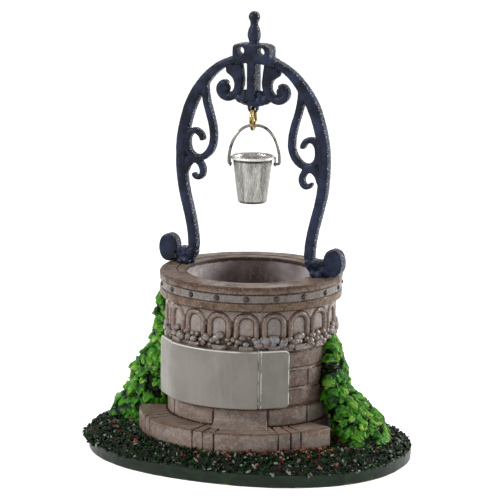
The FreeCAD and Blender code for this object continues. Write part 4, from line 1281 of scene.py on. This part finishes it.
def makeIvy():
    for name in ("left", "right"):
        side = ivy[name]
        dice = np.random.default_rng(side["seed"])
        grid = clumpGrid(side)
        normal = gridNormals(grid)
        outside = np.hypot(grid[..., 0], grid[..., 1]) - wallReach(grid[..., 2])
        lump = 0.55 * layeredNoise(grid, 3.0, side["seed"], 2)
        lift, tone = pressLeaves(side, grid, normal, outside, dice)
        rough = 0.1 * layeredNoise(grid, 0.8, side["seed"] + 3, 2)
        apart = smoothStep(0.1, 1.0, outside)
        shown = grid + normal * ((lift + lump + rough) * apart)[..., None]
        # painted shade in the gaps between leaves, and where the clump lies near the wall low down
        shade = smoothStep(3.2, 0.6, outside) * smoothStep(25, 21, grid[..., 2])
        hollow = smoothStep(0.75, 0.25, lift + 0.3 * lump) + 0.9 * shade
        piece = gridPiece(name + "IvyLeaves", shown, closeColumns=True, endRows=True,
                          marks={"tone": tone, "hollow": np.clip(hollow, 0, 1)})
        finishPiece(piece, "well", leafMaterial, "leaf_paint", name + "_ivy")


stump = {"angle": 86.5, "reach": 25.2, "bottom": 4.6, "top": 7.4, "radius": 4.6, "furrow": 0.5,
         "waist": 0.22, "flatness": 0.8}


def makeStump():
    # a short furrowed trunk under the right plant
    t = stump
    turn = fullTurn(120)
    share = np.linspace(0, 1, 24)[:, None]
    furrows = np.stack(np.broadcast_arrays(5 * np.cos(turn), 5 * np.sin(turn), share), -1)
    radius = t["radius"] * (1 - t["waist"] * np.sin(math.pi * share))
    radius = radius + t["furrow"] * blockNoise(furrows, size=1.1, seed=151)
    angle = math.radians(t["angle"])
    x = t["reach"] * math.sin(angle) + radius * np.cos(turn)
    y = -t["reach"] * math.cos(angle) + t["flatness"] * radius * np.sin(turn)
    z = t["bottom"] + (t["top"] - t["bottom"]) * share
    grid = np.stack(np.broadcast_arrays(x, y, z), -1)
    piece = gridPiece("ivyStump", grid, closeColumns=True, endRows=True)
    finishPiece(piece, "well", stumpPaint(), "base_paint")


leafMaterial = leafPaint()
makeIvy()
makeStump()
print("ivy ready")


# Iron arch. Every bar is a rounded slab about a centre line of (x, height over the coping,
# width); all bars run into each other and are closed into one casting.

arch = {
    "coping": 41.95, "cornerPower": 2.9, "voxel": 0.174, "lumpsWithin": 18.6, "lumpsUpTo": 3.0,
    # the depth of each bar, whose line follows below
    "bars": {"rail": 2.9, "collar": 4.2, "teardrop": 2.3, "small": 2.1, "bracket": 2.5,
             "lobe": 2.2, "foot": 3.2},
    "rail": [(0.0, 47.45, 1.6), (3.6, 47.2, 1.7), (6.1, 46.5, 1.8), (8.45, 45.2, 2.0),
             (10.6, 43.3, 2.3), (12.5, 41.0, 2.6), (14.25, 38.25, 2.8), (15.55, 35.2, 2.8),
             (16.5, 32.0, 2.7), (17.2, 28.4, 2.6), (17.4, 24.4, 2.5), (17.15, 19.8, 2.45),
             (16.45, 15.9, 2.4), (15.5, 12.3, 2.4), (14.7, 8.8, 2.4), (14.25, 5.4, 2.4),
             (14.2, 3.0, 2.4)],
    "collar": [(0.0, 47.45, 2.0), (1.8, 47.4, 2.0), (3.6, 47.2, 2.1), (5.9, 46.58, 2.0)],
    "teardrop": [(11.7, 42.4, 1.6), (11.65, 39.4, 1.7), (11.2, 36.8, 1.7), (10.25, 33.6, 1.7),
                 (9.6, 30.6, 1.7), (9.65, 27.9, 1.7), (10.7, 25.7, 1.7), (12.3, 24.5, 1.6),
                 (14.1, 24.4, 1.6), (15.6, 25.8, 1.5), (15.95, 27.7, 1.5), (15.5, 29.4, 1.4),
                 (14.4, 30.35, 1.4), (13.2, 30.1, 1.4), (12.45, 29.3, 1.3), (12.1, 28.2, 1.3)],
    "small": [(16.5, 20.4, 1.5), (16.2, 22.2, 1.9), (15.3, 23.35, 1.8), (14.0, 23.7, 1.4),
              (12.8, 23.1, 1.5), (12.15, 21.9, 1.5), (12.25, 20.6, 1.4), (13.1, 19.85, 1.2),
              (14.1, 20.2, 1.0), (14.3, 20.9, 0.9)],
    "bracket": [(5.5, 46.5, 6.0), (4.6, 45.2, 4.6), (3.85, 43.9, 3.25), (3.45, 42.6, 2.5),
                (3.4, 41.3, 2.2), (3.9, 39.95, 1.9), (5.2, 38.8, 1.9), (6.6, 38.6, 1.9),
                (7.8, 39.5, 1.8), (7.95, 40.8, 1.7), (7.15, 41.65, 1.5), (6.2, 41.45, 1.3)],
    "lobe": [(0.4, 38.3, 2.8), (1.6, 38.3, 2.7), (3.0, 38.6, 2.2), (4.1, 39.0, 1.5)],
    "foot": [(14.2, 3.9, 2.4), (14.5, 2.6, 2.4), (15.6, 1.5, 2.4), (17.2, 1.2, 2.3),
             (18.8, 1.4, 2.3), (19.9, 2.0, 2.3)],
    "crown": {"halfWidth": 4.5, "bottom": 88.9, "top": 92.85, "depth": 4.2, "wall": 0.4,
              "plate": 2.6, "pocketTop": 92.35, "pocketBottom": 89.95},
    "eyelet": {"x": 2.45, "halfWidth": 0.9, "halfHeight": 0.9, "z": 91.25},
    "post": {"halfWidth": 0.95, "depth": 3.9, "bottom": 80.3, "top": 90.0},
    "tip": {"radius": 1.3, "middle": 78.5, "top": 80.6, "hole": 0.72, "holeHeight": 78.25,
            "turn": 13.5},
    # a disc and a block on each foot: x, height over the coping, half width, half height, power
    "feet": [(20.15, 3.35, 2.25, 3.1, 2.2), (16.5, 1.8, 1.35, 1.95, 5.0)],
    "finial": [(1.12, 92.6), (1.12, 93.2), (1.32, 93.8), (1.47, 94.5), (1.44, 95.2), (1.25, 96.0),
               (1.0, 96.6), (0.86, 97.1), (0.92, 97.4)],
    "ball": {"radius": 1.3, "z": 98.7},
    # small balls of metal and glue: (x, y, height, radius), the same on both sides
    "beads": [(1.8, -0.7, 80.25, 1.0), (3.1, -0.2, 80.5, 1.15), (1.75, -0.5, 81.7, 0.85),
              (4.1, 0.0, 81.0, 1.0), (6.6, 0.0, 82.45, 1.05), (15.35, 0.0, 65.9, 1.05)],
    "glue": [(15.6, -1.1, 42.5, 1.0), (17.4, 1.0, 42.3, 1.2), (16.9, -1.5, 42.4, 1.0),
             (17.9, -1.2, 43.4, 0.95), (15.9, -1.2, 44.3, 0.8), (17.2, -1.3, 45.0, 0.8),
             (18.2, -0.4, 42.6, 1.1), (15.2, 0.9, 42.4, 1.0)],
}


def superellipse(count, power):
    # two arrays round a superellipse of half width and half height 1
    turn = fullTurn(count)
    return [np.sign(v) * np.abs(v) ** (2 / power) for v in (np.cos(turn), np.sin(turn))]


def barShell(line, depth, mirror):
    # a superellipse section carried along the centre line, closed by shrinking ends
    path = cubicThrough(line, 24 * len(line))
    tangent = np.gradient(path[:, :2], axis=0)
    tangent /= np.linalg.norm(tangent, axis=1)[:, None]
    aside = np.stack([-tangent[:, 1], tangent[:, 0]], -1)
    length = np.concatenate([[0], np.cumsum(np.linalg.norm(np.diff(path[:, :2], axis=0), axis=1))])
    half = path[:, 2] / 2
    near = np.minimum(length, length[-1] - length)
    shrink = np.sqrt(np.clip(1 - np.clip(1 - near / np.maximum(half, 0.1), 0, 1) ** 2, 0.0004, 1))
    c, s = superellipse(28, arch["cornerPower"])
    wide = (half * shrink)[:, None] * c[None]
    deep = depth / 2 * np.minimum(1, shrink * 1.3)[:, None] * s[None]
    x = path[:, :1] + aside[:, :1] * wide
    z = path[:, 1:2] + aside[:, 1:] * wide + arch["coping"]
    grid = np.stack([x * (-1 if mirror else 1), deep, z], -1)
    return gridPiece("bar", grid, closeColumns=True, endRows=True)


def latheShell(profile, sides=48):
    grid = atAngle(fullTurn(sides), profile[:, :1], profile[:, 1:])
    return gridPiece("turned", grid, closeColumns=True, endRows=True)


def plateShell(x, z, halfWidth, halfHeight, depth, power, edge=0.5):
    # an upright plate with a superellipse outline; its front and back edges are quarter rounds
    c, s = superellipse(96, power)
    quarter = np.radians(np.linspace(0, 90, 7))
    out, back = edge * (1 - np.sin(quarter)), edge * (1 - np.cos(quarter))
    inset = np.concatenate([out, back])[:, None]
    y = np.concatenate([back - depth / 2, depth / 2 - out])[:, None]
    grid = np.stack(np.broadcast_arrays(
        x + (halfWidth - inset) * c, y, z + (halfHeight - inset) * s), -1)
    return gridPiece("plate", grid, closeColumns=True, endRows=True)


def boxCutter(low, high):
    x = np.array([low[0], high[0], high[0], low[0]])
    z = np.array([low[2], low[2], high[2], high[2]])
    y = np.array([[low[1]], [high[1]]])
    return gridPiece("cutter", np.stack(np.broadcast_arrays(x, y, z), -1), closeColumns=True,
                     endRows=True)


def pinCutter(middle, degrees, halfWidth, halfHeight):
    # a level oval pin through a piece, turned from the depth by some degrees
    turned = math.radians(degrees)
    along = np.array([-math.sin(turned), math.cos(turned), 0.0])
    side = np.array([math.cos(turned), math.sin(turned), 0.0])
    turn = fullTurn(40)
    ring = halfWidth * np.cos(turn)[:, None] * side
    ring = ring + halfHeight * np.sin(turn)[:, None] * np.array([0, 0, 1.0])
    grid = np.array([-3.0, 3.0])[:, None, None] * along + ring[None] + middle
    return gridPiece("cutter", grid, closeColumns=True, endRows=True)


def applied(piece):
    # the piece's mesh with its modifiers worked in
    bpy.context.view_layer.update()
    shape = bpy.data.meshes.new_from_object(
        piece.evaluated_get(bpy.context.evaluated_depsgraph_get()))
    piece.modifiers.clear()
    piece.data = shape


def cutWith(piece, cutter):
    cut = piece.modifiers.new("cut", "BOOLEAN")
    cut.object = cutter
    cut.operation = "DIFFERENCE"
    cut.solver = "EXACT"
    applied(piece)
    bpy.data.objects.remove(cutter)
    return piece


def joined(name, pieces):
    # several shells as one mesh
    whole = bmesh.new()
    for piece in pieces:
        whole.from_mesh(piece.data)
        bpy.data.objects.remove(piece)
    mesh = bpy.data.meshes.new(name)
    whole.to_mesh(mesh)
    whole.free()
    mesh.polygons.foreach_set("use_smooth", np.full(len(mesh.polygons), True))
    return addObject(name, mesh)


def makeCrown():
    crown, eye = arch["crown"], arch["eyelet"]
    middle = (crown["bottom"] + crown["top"]) / 2
    block = plateShell(0, middle, crown["halfWidth"], crown["top"] - middle, crown["depth"], 4.5)
    wide = crown["halfWidth"] - crown["wall"]
    block = cutWith(block, boxCutter((-wide, crown["plate"] - crown["depth"] / 2,
                                      crown["pocketBottom"]), (wide, 3.0, crown["pocketTop"])))
    for side in (1, -1):
        block = cutWith(block, pinCutter([side * eye["x"], 0, eye["z"]], 0, eye["halfWidth"],
                                         eye["halfHeight"]))
    return block


def makePostTip():
    tip = arch["tip"]
    rod = latheShell(np.concatenate([
        arcPath((0, tip["middle"]), tip["radius"], -88, 0, 12),
        [(tip["radius"], tip["top"] - 0.5), (0.8, tip["top"])]]))
    return cutWith(rod, pinCutter([0, 0, tip["holeHeight"]], tip["turn"], tip["hole"], tip["hole"]))


def makeFinial():
    ball = arch["ball"]
    stem = cubicThrough([(z, r) for r, z in arch["finial"]], 40)[:, ::-1]
    return latheShell(np.concatenate([stem, arcPath((0, ball["z"]), ball["radius"], -48, 89, 30)]))


def archShells():
    a = arch
    post = a["post"]
    shells = [makeCrown(), makePostTip(), makeFinial(),
              plateShell(0, (post["bottom"] + post["top"]) / 2, post["halfWidth"],
                         (post["top"] - post["bottom"]) / 2, post["depth"], 14, 0.35)]
    for side in (1, -1):
        for line, depth in a["bars"].items():
            shells.append(barShell(a[line], depth, side < 0))
        for x, z, halfWidth, halfHeight, power in a["feet"]:
            shells.append(plateShell(side * x, a["coping"] + z, halfWidth, halfHeight,
                                     a["bars"]["foot"], power))
    dice = np.random.default_rng(31)
    shape, faces = closedBall(rings=12, sides=18)
    for name, low in (("beads", 1.0), ("glue", 0.55)):
        beads = np.array(a[name])
        for side in (1, -1):
            size = beads[:, 3:] * dice.uniform(low, 1.0, (len(beads), 3))
            frames = np.einsum("ij,nj->nij", np.eye(3), size)
            shells.append(scatter("bead", shape, faces, frames, beads[:, :3] * [side, 1, 1]))
    return shells


def vertexArray(mesh, key):
    values = np.zeros(len(mesh.vertices) * 3, np.float32)
    mesh.vertices.foreach_get(key, values)
    return values.reshape(-1, 3)


def roughenArch(mesh):
    # waves over the whole skin, lumps on the lower rails and grit on the sides
    points, normals = vertexArray(mesh, "co") / mm, vertexArray(mesh, "normal")
    sides = smoothStep(0.8, 0.4, np.abs(normals[:, 1]))
    lumpsEnd = arch["coping"] + arch["lumpsUpTo"]
    low = smoothStep(lumpsEnd + 2.5, lumpsEnd, points[:, 2])
    low = low * (np.abs(points[:, 0]) < arch["lumpsWithin"])
    lift = 0.05 * layeredNoise(points, size=1.8, seed=131, layers=2)
    lift = lift + 0.13 * low * layeredNoise(points, size=0.9, seed=132, layers=2)
    lift = lift + 0.035 * sides * blockNoise(points, size=0.34, seed=133)
    points = points + normals * lift[:, None]
    mesh.vertices.foreach_set("co", (points * mm).astype(np.float32).ravel())
    mesh.polygons.foreach_set("use_smooth", np.full(len(mesh.polygons), True))
    mesh.update()


def makeArch():
    piece = joined("archCasting", archShells())
    remesh = piece.modifiers.new("oneSkin", "REMESH")
    remesh.mode = "VOXEL"
    remesh.voxel_size = arch["voxel"] * mm
    soften = piece.modifiers.new("soften", "SMOOTH")
    soften.factor = 0.5
    soften.iterations = 3
    applied(piece)
    roughenArch(piece.data)
    print("arch casting has", len(piece.data.polygons), "faces")
    nodes = ["arch_left_rail", "arch_right_rail", "drop_post", "crown_block", "finial"]
    for side in ("left_", "right_"):
        nodes += [side + part for part in ("teardrop_scroll", "small_scroll", "crown_bracket",
                                           "post_lobe", "foot_volute")]
    finishPiece(piece, "well", castIron(), "arch_paint", *nodes)


makeArch()
print("arch ready")


# Ring, bail and bucket

hanging = {
    "ringTop": 78.45, "ringRadius": 2.375, "ringWire": 0.42, "ringTurn": 13.5,
    "bailTop": 74.46, "bailHalf": 5.65, "bailBend": 0.45, "wire": 0.33, "earAxis": 65.86,
    "saddle": 0.7, "offset": 0.32, "turn": 24.0, "pinEnd": 4.62,
    "rim": 67.75, "bottom": 57.2, "rimRadius": 4.93, "topRadius": 4.5, "lowRadius": 3.2,
    "sheet": 0.35, "lip": 0.9, "foot": 0.45, "shadeFrom": 66.8, "shadeTo": 62.0, "columns": 240,
    "earMiddle": 66.4, "earWide": 0.58, "earHigh": 1.0, "earWire": 0.17,
}


def wireShell(name, path, radius, sides, closed=False):
    # a round section carried along a path that lies in one plane
    tangent = np.roll(path, -1, 0) - np.roll(path, 1, 0) if closed else np.gradient(path, axis=0)
    tangent /= np.linalg.norm(tangent, axis=1)[:, None]
    third = len(path) // 3
    flat = np.cross(path[third] - path[0], path[2 * len(path) // 3] - path[0])
    side = np.broadcast_to(flat / np.linalg.norm(flat), path.shape)
    up = np.cross(tangent, side)
    turn = fullTurn(sides)[None, :, None]
    radius = np.broadcast_to(radius, len(path))[:, None, None]
    grid = path[:, None] + radius * (np.cos(turn) * side[:, None] + np.sin(turn) * up[:, None])
    return gridPiece(name, grid, closeRows=closed, closeColumns=True, endRows=not closed)


def turnedFlat(points, degrees):
    c, s = math.cos(math.radians(degrees)), math.sin(math.radians(degrees))
    x, y, z = np.moveaxis(np.asarray(points, float), -1, 0)
    return np.stack([x * c - y * s, x * s + y * c, z], -1)


def makeRing():
    h = hanging
    turn = fullTurn(96)
    radius = h["ringRadius"]
    path = np.stack([0 * turn, radius * np.sin(turn),
                     h["ringTop"] - radius + radius * np.cos(turn)], -1)
    seam = 1 - 0.12 * bell(turn - 1.2, 0.03)
    piece = wireShell("brassRing", turnedFlat(path, h["ringTurn"]), h["ringWire"] * seam, 24, True)
    finishPiece(piece, "ring", polishedBrass(), "ring_brass", "jump_ring")


def makeBail():
    # a straight saddle in the ring, a quarter ellipse down each side, a bend and a pin
    h = hanging
    leg = h["earAxis"] + h["bailBend"]
    t = np.linspace(0, math.pi / 2, 60)
    bend = np.linspace(0, math.pi / 2, 12)[1:]
    reach = h["bailHalf"] - h["saddle"]
    halves = []
    for side in (-1, 1):
        corner = h["offset"] + side * (h["bailHalf"] - h["bailBend"])
        x = np.concatenate([h["offset"] + side * (h["saddle"] + reach * np.sin(t)),
                            corner + side * h["bailBend"] * np.cos(bend),
                            np.linspace(corner, side * h["pinEnd"], 6)[1:]])
        z = np.concatenate([leg + (h["bailTop"] - leg) * np.cos(t),
                            leg - h["bailBend"] * np.sin(bend), np.full(5, h["earAxis"])])
        halves.append(np.stack([x, 0 * x, z], -1))
    path = np.concatenate([halves[0][::-1], halves[1]])
    piece = wireShell("bailWire", turnedFlat(path, h["turn"]), h["wire"], 18)
    finishPiece(piece, "bail", wireMaterial, "bucket_metal", "bucket_bail")


def pailProfile():
    # from the middle of the underside round the lip to the middle of the floor, and whether each
    # corner belongs to the outside
    h = hanging
    rim, bottom, sheet, foot = h["rim"], h["bottom"], h["sheet"], h["foot"]
    slope = (h["topRadius"] - h["lowRadius"]) / (rim - bottom)
    rise = np.linspace(bottom + foot, rim - h["lip"] - 0.1, 70)
    fall = np.linspace(rim - 0.5, bottom + sheet + 0.3, 40)
    outer, inner = (h["lowRadius"] + slope * (z - bottom) for z in (rise, fall))
    outside = np.concatenate([
        [(nearAxis, bottom), (2.0, bottom)],
        arcPath((h["lowRadius"] - 0.4, bottom + foot), foot, -90, 0, 8),
        np.stack([outer, rise], -1),
        arcPath((h["rimRadius"] - 0.34, rim - 0.36), 0.35, -115, 150, 26)])
    inside = np.concatenate([
        np.stack([inner - sheet, fall], -1),
        [(h["lowRadius"] - sheet - 0.4, bottom + sheet), (nearAxis, bottom + sheet)]])
    # the roll's last two corners already lie in the mouth
    shown = np.arange(len(outside) + len(inside)) < len(outside) - 2
    return np.concatenate([outside, inside]), shown[:, None]


def makePail():
    h = hanging
    rim, bottom = h["rim"], h["bottom"]
    lip = rim - h["lip"]
    profile, outer = pailProfile()
    a, r, z = np.broadcast_arrays(fullTurn(h["columns"])[None], profile[:, :1], profile[:, 1:])
    streak = layeredNoise(atAngle(a, 4.0, z * 0.12), 0.75, 141)
    facet = blockNoise(atAngle(a, 4.0, z * 0.25), 1.1, 143)
    body = smoothStep(lip + 0.1, lip - 0.5, z) * outer * smoothStep(1.5, 2.6, r)
    r = r + (0.035 * streak + 0.05 * facet) * body
    # painted shade in the groove under the rolled lip; darker round the foot
    groove = bell(z - lip + 0.12, 0.2) * outer
    foot = smoothStep(bottom + 0.7, bottom + 0.1, z) * outer
    rolled = smoothStep(lip + 0.15, lip + 0.4, z)
    rolled = rolled * smoothStep(h["topRadius"] - 0.1, h["topRadius"] + 0.1, r)
    within = (1 - outer) * smoothStep(rim - 0.3, rim - 0.6, z)
    # painted shade deeper inside the mouth
    shade = 0.35 * (1 - outer) * smoothStep(h["shadeFrom"], h["shadeTo"], z)
    # painted highlights where the roll and the mouth's two sides catch the light
    light = 0.6 * rolled + 0.9 * within * np.sin(a - math.radians(h["turn"])) ** 2
    hollow = np.maximum(0.9 * groove, 0.6 * foot) + shade - light
    piece = gridPiece("tinPail", atAngle(a, r, z), closeColumns=True, endRows=True,
                      marks={"streak": 0.5 + 0.5 * streak, "hollow": hollow})
    finishPiece(piece, "bucket", brushedPail(), "bucket_metal", "bucket")


def makeEars():
    h = hanging
    turn = np.radians(np.linspace(-90, 270, 48, endpoint=False))
    loop = np.stack([np.full(48, h["rimRadius"] + 0.06), h["earWide"] * np.cos(turn),
                     h["earMiddle"] + h["earHigh"] * np.sin(turn)], -1)
    ears = [wireShell("ear", turnedFlat(loop * [side, 1, 1], h["turn"]), h["earWire"], 14, True)
            for side in (1, -1)]
    finishPiece(joined("bucketEars", ears), "bucket", wireMaterial, "bucket_metal", "bucket_ears")


wireMaterial = drawnWire()
makeRing()
makeBail()
makePail()
makeEars()
print("bucket ready")


# Floor, light and camera

stage = {
    "floor": "#f0f0f0", "glow": 0.82, "size": 6000.0, "soft": 0.16, "middle": (0, 0, 45),
    # lamps: name, place, width and height, watts
    "lamps": [("keyLeft", (-430, -470, 380), (190, 190), 2.5),
              ("frontFill", (200, -640, 160), (420, 300), 0.3),
              ("rightKick", (430, 300, 210), (130, 220), 1.9),
              ("overhead", (0, 60, 620), (420, 420), 0.8)],
}


def showsBackground(owner):
    # 1 for the rays that see the backdrop itself: straight from the camera, mirrored or through
    path = addNode(owner, "ShaderNodeLightPath", output=None)
    seen = addNode(owner, "ShaderNodeMath", {
        0: path.outputs["Is Camera Ray"], 1: path.outputs["Is Glossy Ray"]}, operation="MAXIMUM")
    return addNode(owner, "ShaderNodeMath", {0: seen, 1: path.outputs["Is Transmission Ray"]},
                   operation="MAXIMUM")


def makeStage():
    size = stage["size"] * mm
    mesh = bpy.data.meshes.new("floor")
    mesh.from_pydata([(-size, -size, 0), (size, -size, 0), (size, size, 0), (-size, size, 0)], [],
                     [(0, 1, 2, 3)])
    floor = addObject("floor", mesh)
    m = newMaterial("paperFloor")
    paper = addNode(m, "ShaderNodeBsdfDiffuse", {"Color": hexColour(stage["floor"])})
    glow = addNode(m, "ShaderNodeEmission", {"Color": (1, 1, 1, 1), "Strength": stage["glow"]})
    both = addNode(m, "ShaderNodeAddShader", {0: paper, 1: glow})
    mixed = addNode(m, "ShaderNodeMixShader", {0: showsBackground(m), 1: paper, 2: both})
    addNode(m, "ShaderNodeOutputMaterial", {"Surface": mixed}, None)
    mesh.materials.append(m)


def makeLight():
    world = bpy.data.worlds.new("studio")
    bpy.context.scene.world = world
    world.use_nodes = True
    world.node_tree.nodes.clear()
    soft = addNode(world, "ShaderNodeBackground", {0: (1, 1, 1, 1), 1: stage["soft"]})
    white = addNode(world, "ShaderNodeBackground", {0: (1, 1, 1, 1), 1: 1.0})
    mixed = addNode(world, "ShaderNodeMixShader", {0: showsBackground(world), 1: soft, 2: white})
    addNode(world, "ShaderNodeOutputWorld", {0: mixed}, None)
    for name, place, size, watts in stage["lamps"]:
        lamp = bpy.data.lights.new(name, "AREA")
        lamp.shape = "RECTANGLE"
        lamp.size, lamp.size_y = size[0] * mm, size[1] * mm
        lamp.energy = watts
        holder = addObject(name, lamp)
        holder.location = Vector(place) * mm
        aim = Vector(stage["middle"]) - Vector(place)
        holder.rotation_euler = aim.to_track_quat("-Z", "Y").to_euler()


camera = {
    "target": (-0.323, -0.146, 46.306),
    "roll": 0.708,          # degrees, the photographed object leans this much
    "azimuth": 24.343,
    "elevation": 11.318,
    "distance": 710.874,
    "focal": 228.94,        # mm on a 36 mm sensor
}


def makeCamera():
    c = camera
    a, e, roll = (math.radians(c[k]) for k in ("azimuth", "elevation", "roll"))
    back = Vector((math.sin(a) * math.cos(e), -math.cos(a) * math.cos(e), math.sin(e)))
    right = Vector((math.cos(a), math.sin(a), 0))
    up = back.cross(right)
    side = right * math.cos(roll) + up * math.sin(roll)
    top = up * math.cos(roll) - right * math.sin(roll)
    view = bpy.data.cameras.new("photoView")
    view.lens, view.sensor_width = c["focal"], 36.0
    view.clip_start, view.clip_end = 0.01, 30.0
    place = (Vector(c["target"]) + back * c["distance"]) * mm
    turn = Matrix((side, top, back)).transposed().to_4x4()
    holder = addObject("photoView", view)
    holder.matrix_world = Matrix.Translation(place) @ turn
    bpy.context.scene.camera = holder


makeStage()
makeLight()
makeCamera()
bpy.context.scene.view_settings.view_transform = "Standard"
print("stage ready")

bpy.context.view_layer.update()
